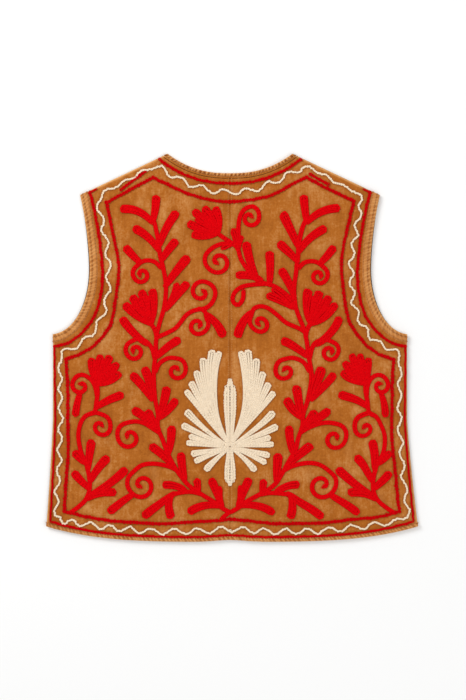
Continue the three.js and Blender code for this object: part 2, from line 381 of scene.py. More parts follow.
def curl(stem, centre, turns, sense, end_radius=1.5, tightening=1.8):
    """A stem that runs on into a spiral round a centre."""
    stem = np.asarray(stem, float)
    centre = np.asarray(centre, float)
    arm = stem[-1] - centre
    first = np.linalg.norm(arm)
    t = np.linspace(0, 1, int(14 * turns) + 2)[1:]
    angle = math.atan2(arm[1], arm[0]) + sense * 2 * math.pi * turns * t
    radius = first - (first - end_radius) * settle(t, tightening)
    ring = centre + radius[:, None] * np.stack([np.cos(angle), np.sin(angle)], axis=1)
    return smooth_line(np.vstack([stem, ring]), 1.0)


SETTLING = 0.26


def settle(t, power):
    """A spiral's closing: a quick settling on its ring, then the closing of the ring."""
    closing = t ** power * smoothstep(t, 0.1, 1.0) ** 0.5
    return SETTLING * smoothstep(t, 0, 0.22) + (1 - SETTLING) * closing


# ---- The vines ----
# Points are (out, up) in millimetres, and a bend is to the left of its way from base to tip.

Leaf = namedtuple("Leaf", "base tip bend half")
Curl = namedtuple("Curl", "stem centre turns sense")
Flower = namedtuple("Flower", "base tips half")

STEMS = [
    [(1, 38), (10, 43), (22, 52), (37, 61), (53, 72), (64, 85), (73, 98), (82, 116),
     (88, 134), (93, 149), (92.5, 166), (96, 183), (97.5, 201), (97, 224), (94.5, 243),
     (95, 258), (94, 272), (90, 288), (85, 305), (83, 329), (87, 353), (91, 370),
     (92, 387), (95, 406), (98.5, 419)],
    [(102, 282), (97, 274), (94.5, 264)],
    [(37, 61), (50, 64), (63, 63.5), (74, 62)],
    [(206, 37), (196, 44), (186, 54), (181, 68), (182, 83), (186, 98), (192.5, 112),
     (195.5, 125), (196, 138), (192.5, 152), (185.5, 162), (174.5, 167), (172, 181),
     (170.5, 191), (171, 202)],
]

LEAVES = [
    Leaf((98.7, 415), (95, 449), 1, 5.0),
    Leaf((99.5, 413), (142, 430), 6, 5.0),
    Leaf((91, 384), (67, 427), -2, 5.3),
    Leaf((92.5, 377), (125, 406), 4, 5.2),
    Leaf((90, 364), (67.5, 390.5), -1, 5.0),
    Leaf((117, 361), (136.5, 383), -1, 5.0),
    Leaf((106, 256), (141, 291), -3, 5.0),
    Leaf((93, 240), (63, 262), -2, 5.2),
    Leaf((100.5, 185), (127, 218), 1, 5.4),
    Leaf((100.5, 185), (110, 227), 2, 5.4),
    Leaf((91.5, 161), (81, 202), 1, 5.3),
    Leaf((91.5, 161), (68.5, 185.5), 2, 5.0),
    Leaf((92, 145), (126, 172), 2, 5.2),
    Leaf((92, 145), (106.5, 172), -1, 5.0),
    Leaf((81, 115), (75, 151), 1, 5.2),
    Leaf((73, 97), (105, 126), 2, 5.2),
    Leaf((58.5, 80), (65, 116), -1, 5.2),
    Leaf((41, 64), (43, 82), 0, 4.4),
    Leaf((13, 46), (54.5, 36.5), 5, 4.8),
    Leaf((10.5, 44), (25.5, 82), 1, 5.0),
    Leaf((12, 48), (13.5, 72), -1, 3.8),
    Leaf((58, 66), (88, 74.5), 3, 4.6),
    Leaf((72, 63), (113, 32.5), 1, 5.0),
    Leaf((76, 61), (74.5, 30.5), 4, 5.0),
    Leaf((125, 62), (157.5, 38), 1, 4.8),
    Leaf((178, 61), (133.5, 96), 2, 5.2),
    Leaf((184, 55), (146, 64.5), -4, 4.9),
    Leaf((181, 68), (203.5, 90.5), -1, 4.8),
    Leaf((180, 78), (157.5, 111), -2, 5.2),
    Leaf((184, 93), (179, 132), -1, 5.2),
    Leaf((188, 101), (203.5, 117), -1, 4.7),
    Leaf((171.5, 174), (136.5, 191), -2, 5.0),
    Leaf((193.5, 190), (199, 160), 1, 4.2),
]

CURLS = [
    Curl([(91, 355), (97, 361.5), (105.5, 364), (115, 362), (123, 355)], (115.5, 345), 1.22, -1),
    Curl([(96, 238), (99.5, 250), (107, 259), (118, 262.5), (129, 258)], (122, 246.5), 1.22, -1),
    Curl([(95, 221), (89, 232), (77.5, 238), (66, 236.5)], (67.5, 221.5), 1.12, 1),
    Curl([(92, 142), (100, 147.5), (111, 154), (122, 156), (134, 154)], (131.5, 136), 1.2, -1),
    Curl([(70, 93), (78, 97.5), (90, 101), (102, 102), (115, 99.5), (126.5, 90)],
         (114.5, 73.5), 1.3, -1),
    Curl([(185.5, 162), (174.5, 166.5), (164, 164.5)], (166, 149), 1.12, 1),
    Curl([(171.5, 188), (173.5, 199), (178, 208), (185.5, 213.5)], (192.5, 201), 1.1, -1),
]

FLOWERS = [
    Flower((102, 281), [(136.5, 309), (127, 319), (115.5, 326), (101.5, 328)], 6.2),
    Flower((170.5, 202.5), [(176, 237.5), (164.5, 242), (152.5, 242), (143.5, 232.5),
                            (140.5, 220.5)], 5.6),
]

# What only one half has.
LEFT_STEMS = [[(1, 38), (7, 33), (11, 29)]]
LEFT_LEAVES = [
    Leaf((84, 331), (54, 368), -1, 5.8),
    Leaf((83.5, 301), (54, 335), 0, 5.0),
    Leaf((79, 308), (69, 335), 2, 3.6),
    Leaf((31, 293), (8, 263), -3, 5.4),
]
LEFT_CURLS = [
    Curl([(94, 265), (82.5, 270), (72, 275), (65, 282), (58, 291), (50, 296.5), (42, 299),
          (33, 300.5), (25, 306), (20, 315)], (36.5, 322), 1.2, -1),
    Curl([(40, 300), (33, 297), (31, 288)], (41.5, 278), 1.2, 1),
]
RIGHT_LEAVES = [
    Leaf((83, 318), (65.5, 354), -1, 5.2),
    Leaf((82, 304), (54, 329), -1, 4.6),
    Leaf((82, 303), (46.5, 320), -1, 4.4),
    Leaf((28, 296), (8, 262), -3, 5.4),
]
RIGHT_CURLS = [
    Curl([(98, 270), (88.5, 276), (72.5, 283.5), (61, 294), (49.5, 302.5), (39.5, 304.5),
          (31, 300.5), (27.5, 291)], (38.5, 282), 1.25, 1),
]

# The spray at the top of the back, with x to the right.
SPRAY_STEMS = [
    [(-17, 399), (-9, 393), (-1, 388), (9, 380.5)],
    [(10, 381), (12, 372), (15, 363), (24.5, 349), (33, 339.5), (46.5, 333), (55, 331),
     (66, 324.5), (80, 313)],
    [(46.5, 333), (30, 332), (15, 329), (5.5, 321), (3.5, 311), (10, 305.5), (16.5, 313),
     (17.5, 324)],
]
SPRAY_CURLS = [
    Curl([(3, 384), (-8, 385), (-20, 381), (-29.5, 373)], (-15.5, 361), 1.25, 1),
    Curl([(12, 381), (11, 396), (11, 408), (13, 420), (19, 429.5), (28, 433)], (26.5, 418.5),
         1.12, -1),
]
SPRAY_LEAVES = [
    Leaf((10, 378), (3.5, 405), -1, 4.4),
    Leaf((10, 381), (15, 396), 0, 3.4),
    Leaf((35, 338), (20.5, 388), 2, 5.3),
    Leaf((51, 334), (50.5, 376), -1, 5.1),
    Leaf((40, 338), (7, 343.5), -3, 4.8),
    Leaf((0.5, 384), (-12.5, 377.5), 0, 2.6),
]
SPRAY_FLOWER = Flower((-15, 398), [(-21, 432.5), (-35, 432.5), (-48, 428), (-55, 412.5),
                                   (-50, 398.5)], 6.0)


# How the vines of the right half stray from those of the left: (out, up, step out, step up).
STRAYS = np.array([
    (80, 405, -4, -2), (72, 381, -6, -3), (88, 376, -2, -2), (113, 398, 0, 0), (97, 430, 0, 0),
    (130, 425, 0, 0), (128, 374, 0, -1), (115, 345, 0, -2), (86, 330, 0, 0), (117, 310, 2, -1),
    (125, 274, 4, -1), (94.5, 262, 2, 0), (95, 243, 7, 0), (96, 225, 6, 0), (97, 205, 5, 0),
    (122, 246, 7, -2), (78, 251, 2, 0), (118, 218, 10, 0), (108, 212, 14, 0), (112, 196, 8, 0),
    (68, 222, 3, 0), (96, 184, 4, 0), (75, 195, 4, 2), (92, 165, 1, 0), (108, 168, 5, -2),
    (131.5, 136, 6.5, -3), (90, 140, 0, 0), (76, 142, 2.5, 0), (95, 115, 4, 1), (73, 98, 0, 0),
    (62, 103, -4, 0),
    (114, 78, 4, 0), (148, 46, 7, -4), (107, 38, 5, -1), (75, 42, -0.5, 0), (72, 70, 2, 0),
    (45, 40, 2, 1), (22, 70, 0, 1), (43, 75, 0, 0), (20, 50, 0, 0), (136, 93, 3, -1),
    (158, 108, 4, -1), (150, 64, 3, -2), (180, 128, 5, 0), (195, 125, 5, 0), (201, 90, 2, 0),
    (184, 75, 1, 0), (200, 44, 2, 0), (166, 149, 10, -4), (172, 182, 6, 0), (170, 200, 4, 0),
    (138, 190, 3, -1), (150, 228, 3, 0), (176, 232, 0, 0), (192, 201, 1, 1), (198, 170, 2, 0),
], float)
STRAY_REACH, STRAY_EASE = 14.0, 0.15


def strayed(line):
    """An (out, up) line of the left half, moved as the handwork of the right half strays."""
    away = np.linalg.norm(line[:, None] - STRAYS[None, :, :2], axis=2)
    pull = np.exp(-((away / STRAY_REACH) ** 2))
    return line + pull @ STRAYS[:, 2:] / (pull.sum(axis=1, keepdims=True) + STRAY_EASE)


def sided(line, side):
    """An (out, up) line laid on a side, with a little of the unevenness of handwork."""
    laid = lay(line, side)
    x, y = laid.T
    return laid + np.stack([uneven(DRIFT_OUT, y, side), uneven(DRIFT_UP, x)], axis=1)


def sided_rows(rows, side):
    return [Row(sided(row.line, side), row.width) for row in rows]


def leaf_rows(leaves):
    return [row for leaf in leaves
            for row in finger(bent(leaf.base, leaf.tip, leaf.bend), leaf.half + LEAF_EASE)]


PETAL_BASE, PETAL_SWELL, PETAL_BOW = 2.0, 0.95, 3 / 16
FILLER_HALF, FILLER_BASE, FILLER_SWELL, FILLER_START, FILLER_REACH = 3.6, 0.9, 0.9, 0.2, 0.84


def flower_rows(flower):
    """Petals that fan from a base, with fillers between them, so that only the tips part."""
    rows = []
    middle = np.mean(flower.tips, axis=0) - flower.base
    for tip in flower.tips:
        aside = np.cross(middle, np.subtract(tip, flower.base)) / np.linalg.norm(middle)
        spine = bent(flower.base, tip, PETAL_BOW * aside)
        rows += finger(spine, flower.half, PETAL_BASE, PETAL_SWELL)
    for tip, next_tip in zip(flower.tips, flower.tips[1:]):
        between = (np.add(tip, next_tip) / 2 - flower.base) * FILLER_REACH + flower.base
        spine = bent(flower.base, between, 0)
        rows += finger(spine, FILLER_HALF, FILLER_BASE, FILLER_SWELL, FILLER_START)
    return rows


def stem_rows(stems):
    return [row for points in stems for row in twin(smooth_line(points))]


def curl_rows(curls):
    return [row for c in curls for row in twin(curl(c.stem, c.centre, c.turns, c.sense))]


def vine_rows(side):
    """All the red rows of one half, without the spray."""
    rows = stem_rows(STEMS) + leaf_rows(LEAVES) + curl_rows(CURLS)
    for flower in FLOWERS:
        rows += flower_rows(flower)
    if side > 0:
        rows = [Row(strayed(row.line), row.width) for row in rows]
        rows += leaf_rows(RIGHT_LEAVES) + curl_rows(RIGHT_CURLS)
    else:
        rows += leaf_rows(LEFT_LEAVES) + curl_rows(LEFT_CURLS) + stem_rows(LEFT_STEMS)
    return sided_rows(rows, side)


def spray_rows():
    rows = stem_rows(SPRAY_STEMS) + leaf_rows(SPRAY_LEAVES) + curl_rows(SPRAY_CURLS)
    return rows + flower_rows(SPRAY_FLOWER)


# ---- The palmette ----

HUB = (0.0, 121.5)
Lobe = namedtuple("Lobe", "tip bend half start")
PALMETTE_LOBES = [
    Lobe((12, 246), 13, 4.4, 0.04),
    Lobe((21, 248), 12, 5.2, 0.30),
    Lobe((33, 237.5), 9, 5.2, 0.12),
    Lobe((42.5, 221), 6, 4.9, 0.30),
    Lobe((50.5, 207), 3, 4.8, 0.14),
    Lobe((57.5, 195.5), 0, 4.4, 0.04),
    Lobe((57, 169.5), 3, 5.2, 0.06),
    Lobe((62.5, 151), 1, 5.0, 0.16),
    Lobe((54.5, 136.5), 1, 4.2, 0.20),
    Lobe((58, 127.5), 0, 4.2, 0.08),
    Lobe((52.5, 112.5), 0, 4.6, 0.20),
    Lobe((47.5, 102.5), -1, 4.4, 0.08),
    Lobe((33, 91), -2, 5.0, 0.06),
]
EAR_TOP, EAR_FOOT = 210.5, 73.5
EAR_HALF, EAR_FOOT_HALF, EAR_NECK_HALF, EAR_SLIT = 8.0, 7.2, 3.4, 0.35
EAR_START, EAR_SWELL_END, EAR_TURN_IN, EAR_TURN_REACH, EAR_OVERLAP = 0.05, 0.65, 1.3, 0.09, 1.25
# The two columns each side of the slit: its place across the half, and where it ends.
EAR_COLUMNS = ((0.5, 0.98), (1.5, 0.88))
LOBE_BASE, LOBE_SWELL = 1.7, 1.35


def ear_rows(end, half):
    """Two columns of stitches each side of a slit, which turn in where they end."""
    rows = []
    for side in SIDES.values():
        for place, last in EAR_COLUMNS:
            t = np.linspace(EAR_START, last, 90)
            body = EAR_NECK_HALF + (half - EAR_NECK_HALF) * smoothstep(t, 0, EAR_SWELL_END)
            width = (body - EAR_SLIT) / 2
            turn_in = EAR_TURN_IN * smoothstep(t, last - EAR_TURN_REACH, last)
            out = side * (EAR_SLIT + width * place - turn_in)
            line = np.stack([out, HUB[1] + (end - HUB[1]) * t], axis=1)
            rows.append(Row(line, width * EAR_OVERLAP))
    return rows


def palmette_rows():
    rows = []
    for side in SIDES.values():
        for lobe in PALMETTE_LOBES:
            spine = bent(HUB, lobe.tip, -lobe.bend)
            rows += sided_rows(finger(spine, lobe.half, LOBE_BASE, LOBE_SWELL, lobe.start), side)
    return rows + ear_rows(EAR_TOP, EAR_HALF) + ear_rows(EAR_FOOT, EAR_FOOT_HALF)


# ---- The borders ----

SHARES = np.linspace(0, 1, 260)
LINE_END, HEM_LINE_END, SIDE_LINE_FOOT = 2.4, 7.2, 28.5
LINE_TREMOR, WAVE_TREMOR = 0.22, 0.3

# How far in the outer line runs, at shares of each edge from its start. On the side it is at
# heights up the seam.
NECK_LINE = ([0, 1], [13.2, 12.2])
ARMHOLE_LINE = ([0, 0.25, 0.6, 1], [15.5, 19.2, 15.8, 13.4])
HEM_LINE = ([0, 0.7, 1], [6.2, 6.6, 8.0])
SIDE_LINE = ([20, 250], [4.8, 2.1])
SHOULDER_HOOK = [(181, 450.5), (173.5, 454.6)]
SHOULDER_SPURS = {-1: [(107.5, 479), (123, 467.5), (139.5, 455.5)], 1: [(103, 475), (126, 462)]}

# The inner line, (out, up) from the middle of the neck round to the middle of the hem.
INNER_LINE = [
    [(-6.5, 438.4), (6.5, 438.4), (31, 442), (56, 449.5), (80.5, 462.5), (98, 471)],
    [(98, 471), (159, 438.5)],
    [(159, 438.5), (153, 411.5), (148, 383.5), (144.5, 354), (146.5, 324), (152.5, 288),
     (159.5, 272), (168, 260.5), (174, 253.5), (185.5, 245), (196.5, 239.5), (210, 235)],
    [(210, 235), (209, 195), (209, 150), (211.5, 80), (214, 39)],
    [(214, 39), (194, 33.5), (172.5, 30), (118.5, 25.5), (64, 24.6), (12, 27.5), (0, 28.5),
     (-12, 27.5)],
]

# The wavy line's middle, (out, up), with how many waves each stretch has on the left half and on
# the right half, and how high they are.
Stretch = namedtuple("Stretch", "points left_waves right_waves height")
WAVE_STRETCHES = [
    Stretch([(-1, 451.5), (0, 451.5), (22, 453), (44, 459), (66, 468.5), (88, 481), (98, 484)],
            3.6, 3.6, 3.4),
    Stretch([(98, 484), (110, 479.5), (130, 468), (150, 457), (163, 451.5), (170, 442)],
            3.3, 3.3, 1.5),
    Stretch([(170, 442), (168.5, 430), (163, 405), (158.5, 377), (156.3, 352), (157.5, 325),
             (162.5, 298), (171, 279), (183, 264), (196, 254), (212, 247.5)], 7.3, 8.7, 3.1),
    Stretch([(212, 247.5), (219, 240), (219.3, 225), (218.6, 190), (218.6, 173)],
            3.07, 2.68, 2.3),
    Stretch([(218.6, 173), (218.6, 150), (220.5, 100), (224, 50), (224.5, 36)], 5.1, 4.55, 2.8),
    Stretch([(224.5, 36), (221, 28), (206, 26)], 1.35, 0.56, 2.9),
    Stretch([(206, 26), (176, 21.5), (140, 17), (117, 15)], 3.55, 3.1, 3.4),
    Stretch([(117, 15), (100, 14), (60, 13.6), (20, 15.5), (0, 17)], 3.9, 4.34, 3.5),
]
# Where a wave is at the middle of the neck, so that the two halves meet there.
FIRST_PHASE = 0.27
WAVE_UNEVENNESS, WAVE_UNEVEN_PACE = 0.16, 9.1


def beside(edge, distances, short_of_end=LINE_END):
    """A line inside an edge that stops just short of the seams at its ends."""
    t = np.linspace(LINE_END, edge.length - short_of_end, 260) / edge.length
    return edge.inside(t, np.interp(t, *distances))


def border_rows():
    """The two red lines round the edge of the back."""
    neck = beside(NECK, NECK_LINE)[1:]
    armhole = beside(ARMHOLE, ARMHOLE_LINE)
    hem = beside(HEM, HEM_LINE, HEM_LINE_END)
    up = np.linspace(SIDE_LINE_FOOT, armhole[0, 1] - 2, 120)
    seam = np.stack([side_x(up) - np.interp(up, *SIDE_LINE), up], axis=1)
    neck[0, 0] = hem[0, 0] = 0
    outer = ((neck, NECK_LINE_WIDTH), (armhole, NECK_LINE_WIDTH), (seam, SIDE_LINE_WIDTH),
             (hem, HEM_LINE_WIDTH), (SHOULDER_HOOK, SIDE_LINE_WIDTH))
    rows = []
    for side in SIDES.values():
        for line, width in outer:
            rows.append(Row(trembled(evenly(lay(line, side), 1.0), LINE_TREMOR), width))
        for points in INNER_LINE:
            line = smooth_line(points)
            line = sided(line[line[:, 0] >= 0], side)
            rows.append(Row(trembled(line, LINE_TREMOR), INNER_LINE_WIDTH))
        rows.append(Row(sided(smooth_line(SHOULDER_SPURS[side]), side), NECK_LINE_WIDTH))
    return rows


def wave_rows():
    """The cream line that waves between the two red ones."""
    rows = []
    for side in SIDES.values():
        points, phases, heights = [], [], []
        turned = FIRST_PHASE * side
        for stretch in WAVE_STRETCHES:
            line = smooth_line(stretch.points, 0.5)
            line = line[line[:, 0] >= 0]
            run = run_of(line)
            waves = stretch.left_waves if side < 0 else stretch.right_waves
            points.append(line)
            phases.append(turned + waves * run / run[-1])
            heights.append(np.full(len(line), stretch.height))
            turned += waves
        line = np.apply_along_axis(soft_run, 0, np.vstack(points))
        phase = np.concatenate(phases)
        swing = soft_run(np.concatenate(heights)) * np.cos(2 * math.pi * phase)
        swing *= 1 + WAVE_UNEVENNESS * np.sin(WAVE_UNEVEN_PACE * phase + side)
        line = line + left_of(line) * swing[:, None]
        line[0, 0] = line[-1, 0] = 0
        rows.append(Row(trembled(evenly(lay(line, side), 0.8), WAVE_TREMOR), WAVE_WIDTH))
    return rows


def soft_run(values, near=16):
    """Values along a line, evened out over the points near each."""
    padded = np.pad(values, near, mode="reflect", reflect_type="odd")
    return np.convolve(padded, np.ones(2 * near + 1) / (2 * near + 1), "valid")


@cache
def all_rows():
    """Every embroidered row, made once."""
    return {"left": vine_rows(-1), "right": vine_rows(1), "spray": spray_rows(),
            "palmette": palmette_rows(), "borders": border_rows(), "wave": wave_rows()}


@cache
def stitched_places():
    """A search tree of every point that a row passes."""
    points = np.vstack([row.line for rows in all_rows().values() for row in rows])
    tree = KDTree(len(points))
    for k, (x, y) in enumerate(points):
        tree.insert((x, y, 0), k)
    tree.balance()
    return tree


PULL_REACH = (1.6, 5.0)


def thread_pull(x, y):
    """1 where a row of stitches passes, fading to 0 a few millimetres away."""
    tree = stitched_places()
    away = [tree.find((a, b, 0))[2] for a, b in zip(x.ravel(), y.ravel())]
    return 1 - smoothstep(np.reshape(away, x.shape), *PULL_REACH)


# ---- Meshes ----

def new_object(name, data):
    made = bpy.data.objects.new(name, data)
    bpy.context.scene.collection.objects.link(made)
    return made


def faces_out(points, faces):
    """The faces of a closed shape, turned over if they point inwards."""
    fans = np.array([(f[0], b, c) for f in faces for b, c in zip(f[1:], f[2:])])
    a, b, c = (points[fans[:, k]] for k in range(3))
    volume = (a * np.cross(b, c)).sum()
    return faces if volume > 0 else [face[::-1] for face in faces]


def new_mesh(name, points, faces, attributes=None, closed=True):
    """A mesh object from points in metres and faces, with named values on its points."""
    points = np.asarray(points, float)
    mesh = bpy.data.meshes.new(name)
    mesh.from_pydata(points.tolist(), [], faces_out(points, faces) if closed else faces)
    for key, values in (attributes or {}).items():
        layer = mesh.attributes.new(key, "FLOAT", "POINT")
        layer.data.foreach_set("value", np.asarray(values, np.float32).ravel())
    mesh.update()
    if closed:
        mesh.shade_smooth()
    return new_object(name, mesh)


def sheet_mesh(name, plan, under, top, attributes):
    """A closed sheet over a grid of laid plan points."""
    rows, columns = plan.shape[:2]
    x, y = plan[..., 0], plan[..., 1]
    points = np.stack([to_frame(x, y, under), to_frame(x, y, top)]).reshape(-1, 3)
    index = np.arange(rows * columns).reshape(rows, columns)
    a, b, c, d = index[:-1, :-1], index[:-1, 1:], index[1:, 1:], index[1:, :-1]
    upper = np.stack([a, b, c, d], axis=-1).reshape(-1, 4) + index.size
    lower = np.stack([a, d, c, b], axis=-1).reshape(-1, 4)
    rim = np.concatenate([index[0], index[1:, -1], index[-1, -2::-1], index[-2:0:-1, 0]])
    ahead = np.roll(rim, -1)
    wall = np.stack([rim, ahead, ahead + index.size, rim + index.size], axis=-1)
    values = {key: np.tile(value.ravel(), 2) for key, value in attributes.items()}
    return new_mesh(name, points, np.vstack([upper, lower, wall]).tolist(), values)


def tube_faces(rings, sides, closed=False):
    """Faces round rings of points, joined end to end or with a fan over each open end."""
    index = np.arange(rings * sides).reshape(rings, sides)
    near, far = (index, np.roll(index, -1, axis=0)) if closed else (index[:-1], index[1:])
    wall = np.stack([near, np.roll(near, -1, axis=1), np.roll(far, -1, axis=1), far], axis=-1)
    faces = wall.reshape(-1, 4).tolist()
    if not closed:
        for end in (index[0].tolist(), index[-1, ::-1].tolist()):
            faces += [[end[0], end[k + 1], end[k]] for k in range(1, sides - 1)]
    return faces


def fill_panel(bottom, top, inner, outer, u, v):
    """Plan points between four edges, at shares u across and v up."""
    u, v = u[None, :, None], v[:, None, None]
    across = (1 - u) * inner[:, None] + u * outer[:, None]
    grid = (1 - v) * bottom[None] + v * top[None] + across
    grid = grid - (1 - u) * (1 - v) * bottom[0] - u * (1 - v) * bottom[-1]
    return grid - (1 - u) * v * top[0] - u * v * top[-1]


def shares(count, near_start=(), near_end=()):
    """Even shares from 0 to 1, with extra ones close to an end where an edge rolls over."""
    extra = [*near_start, *(1 - s for s in near_end)]
    return np.unique(np.concatenate([np.linspace(0, 1, count + 1), extra]).round(6))


def along(line, values):
    """Points at shares of a line."""
    return at_run(line, values * run_of(line)[-1])


def along_two(first, second, share, values):
    """Points at shares of two lines that join, where the first ends at the given share."""
    line = np.vstack([first, second[1:]])
    runs = np.interp(values, [0, share, 1], [0, run_of(first)[-1], run_of(line)[-1]])
    return at_run(line, runs)


ROLL_SHARES, SEAM_SHARES = (0.0012, 0.0028, 0.005, 0.0078), (0.003, 0.006, 0.010)
TUCK = 1.6
NECK_SHARE, UNDERARM_SHARE, FRONT_SHARE = 0.42, 0.55, 0.5


def side_line(foot, head):
    up = np.linspace(foot[1], head[1], 300)
    line = np.stack([side_x(up), up], axis=1)
    line[0], line[-1] = foot, head
    return line


def back_plan(cell):
    """The right half of the back's grid. Its finished edges tuck under their bands."""
    hem = HEM.inside(SHARES, HEM_BAND_WIDTH - TUCK)
    neck = NECK.inside(SHARES, NECK_BINDING_WIDTH - TUCK)
    armhole = ARMHOLE.inside(SHARES, ARMHOLE_BAND_WIDTH - TUCK)
    hem[0, 0] = neck[0, 0] = 0
    shoulder = evenly(np.vstack([neck[-1], armhole[-1]]), 1.0)
    u = shares(int(HALF_HEM / cell), SEAM_SHARES, ROLL_SHARES)
    v = shares(int(CENTRE_BACK_LENGTH / cell), (), ROLL_SHARES)
    bottom = along(hem, u)
    top = along_two(neck, shoulder, NECK_SHARE, u)
    outer = along_two(side_line(hem[-1], armhole[0]), armhole, UNDERARM_SHARE, v)
    inner = bottom[0] + (top[0] - bottom[0]) * v[:, None]
    return fill_panel(bottom, top, inner, outer, u, v)


def front_plan(cell):
    """The right front's grid, with the V neck as its inner edge above the middle."""
    x = np.linspace(FRONT_GAP / 2, HALF_HEM, 200)
    hem = np.stack([x, hem_y(x) + FRONT_HEM_LIFT], axis=1)
    hem[-1, 0] = side_x(hem[-1, 1])
    armhole = ARMHOLE.inside(SHARES, 0.5 - FRONT_PROUD * np.sin(math.pi * SHARES))
    neck_up = np.linspace(FRONT_NECK_BOTTOM, LENGTH, 200)
    neck = np.stack([front_neck_x(neck_up), neck_up], axis=1)
    u = shares(int(HALF_HEM / cell), ROLL_SHARES, ROLL_SHARES)
    v = shares(int(LENGTH / cell), (), ROLL_SHARES)
    outer = along_two(side_line(hem[-1], armhole[0]), armhole, FRONT_SHARE, v)
    inner = along_two(np.vstack([hem[0], neck[0]]), neck, FRONT_SHARE, v)
    top = inner[-1] + (outer[-1] - inner[-1]) * u[:, None]
    return fill_panel(along(hem, u), top, inner, outer, u, v)


def edge_distance(plan):
    """How far each grid point is from the grid's nearest edge, in millimetres."""
    away = []
    for axis in (0, 1):
        steps = np.linalg.norm(np.diff(plan, axis=axis), axis=2)
        start = np.zeros_like(plan.take([0], axis=axis)[..., 0])
        run = np.concatenate([start, np.cumsum(steps, axis=axis)], axis=axis)
        away += [run, run.take([-1], axis=axis) - run]
    return np.minimum.reduce(away)


def flat_of(plan):
    """The size, (width, length), and the area of a laid plan's grid, in metres."""
    a, b, c, d = plan[:-1, :-1], plan[:-1, 1:], plan[1:, 1:], plan[1:, :-1]
    diagonal, other = c - a, d - b
    area = np.abs(diagonal[..., 0] * other[..., 1] - diagonal[..., 1] * other[..., 0]).sum() / 2
    size = np.ptp(plan.reshape(-1, 2), axis=0) * MM
    return (float(size[0]), float(size[1])), float(area) * MM * MM


# ---- Bands ----

# A band's last value is the painted shade in the valleys between its ripples.
Band = namedtuple("Band", "edge width grooves ripple lean ticks")
NECK_BAND = Band(NECK, NECK_BINDING_WIDTH, (3.9,), 4.3, 0.25, 0.9)
HEM_BAND = Band(HEM, HEM_BAND_WIDTH, (4.6,), 4.6, 0.6, 0.5)
ARMHOLE_BAND = Band(ARMHOLE, ARMHOLE_BAND_WIDTH, (3.8, 9.4), 4.4, 0.45, 0.3)
NECK_SEED, HEM_SEED, ARMHOLE_SEED = 11, 23, 31
BAND_STEP, BAND_ROLL, BAND_EDGE_HEIGHT, BAND_SINK = 0.8, 1.7, 0.34, 0.42
BAND_OVERHANG, BAND_INNER_LIFT, BAND_SHOULDER = 0.1, 0.35, 1.2
# Over which distances in from the edge a band is worn, and where painted shade darkens its tucks,
# the valleys between its ripples.
EDGE_WEAR, TUCK_START, TUCK_END = (0.2, 1.9), (-0.2, 1.0), (3.2, 6.0)
GROOVE_DEPTH, GROOVE_WIDTH, GROOVE_SHADE, GROOVE_SHADE_WIDTH = 0.55, 0.6, 0.55, 0.8
RIPPLE_HEIGHT, RIPPLE_WEAR_AND_HIGHLIGHT, RIPPLE_SPREAD = 0.9, 0.8, 0.30
RIPPLE_START, RIPPLE_LENGTH = 600, 1200


def ripple_heights(runs, length, spacing, seed):
    """Uneven soft ripples along a band: how high the cloth stands at each distance."""
    rng = np.random.default_rng(seed)
    gaps = spacing * rng.uniform(0.7, 1.35, int(length / spacing * 1.5) + 4)
    places = np.cumsum(gaps) - spacing * 2
    sizes = rng.uniform(0.55, 1.0, len(places))
    total = np.zeros(runs.shape)
    for place, size in zip(places, sizes):
        total += size * np.exp(-(((runs - place) / (spacing * RIPPLE_SPREAD)) ** 2))
    return total


def band_points(band, t, side, distance, seed):
    """A band's plan, underside, thickness, wear with a painted highlight, and painted shade, at
    distances in from its edge.
    """
    plan = np.stack([lay(band.edge.inside(t, d), side) for d in distance], axis=1)
    x, y = plan[..., 0], plan[..., 1]
    d, width = distance[None, :], band.width
    runs = t[:, None] * band.edge.length * side + band.lean * d + RIPPLE_START
    wave = ripple_heights(runs, RIPPLE_LENGTH, band.ripple, seed)
    inner = 1 - smoothstep(d, width - BAND_SHOULDER, width)
    high = BAND_EDGE_HEIGHT + (1 - BAND_EDGE_HEIGHT) * rolled(d, BAND_ROLL)
    high = BAND_THICKNESS * high * (1 - BAND_SINK * smoothstep(d, width - 1.6, width + 0.2))
    high = high + (wave - 0.5) * RIPPLE_HEIGHT * smoothstep(d, -0.6, 1.0) * inner
    # Wear at the edge; the ripples' crests are lighter, partly wear and partly painted highlight.
    wear_and_highlight = wave * (1 - smoothstep(d, width * 0.45, width)) + 1 - smoothstep(d, *EDGE_WEAR)
    # Painted shade in the valleys between ripples and along the stitched grooves.
    between = band.ticks * np.clip(1 - 1.5 * wave, 0, 1)
    painted_shade = between * smoothstep(d, *TUCK_START) * inner * (1 - smoothstep(d, *TUCK_END))
    for groove in band.grooves:
        away = d - groove
        high = high - GROOVE_DEPTH * np.exp(-((away / GROOVE_WIDTH) ** 2))
        shade = GROOVE_SHADE * np.exp(-((away / GROOVE_SHADE_WIDTH) ** 2))
        painted_shade = painted_shade + shade * (1 - 0.7 * wave)
    return x, y, back_underside(x, y), high, RIPPLE_WEAR_AND_HIGHLIGHT * wear_and_highlight, np.clip(painted_shade, 0, 1)


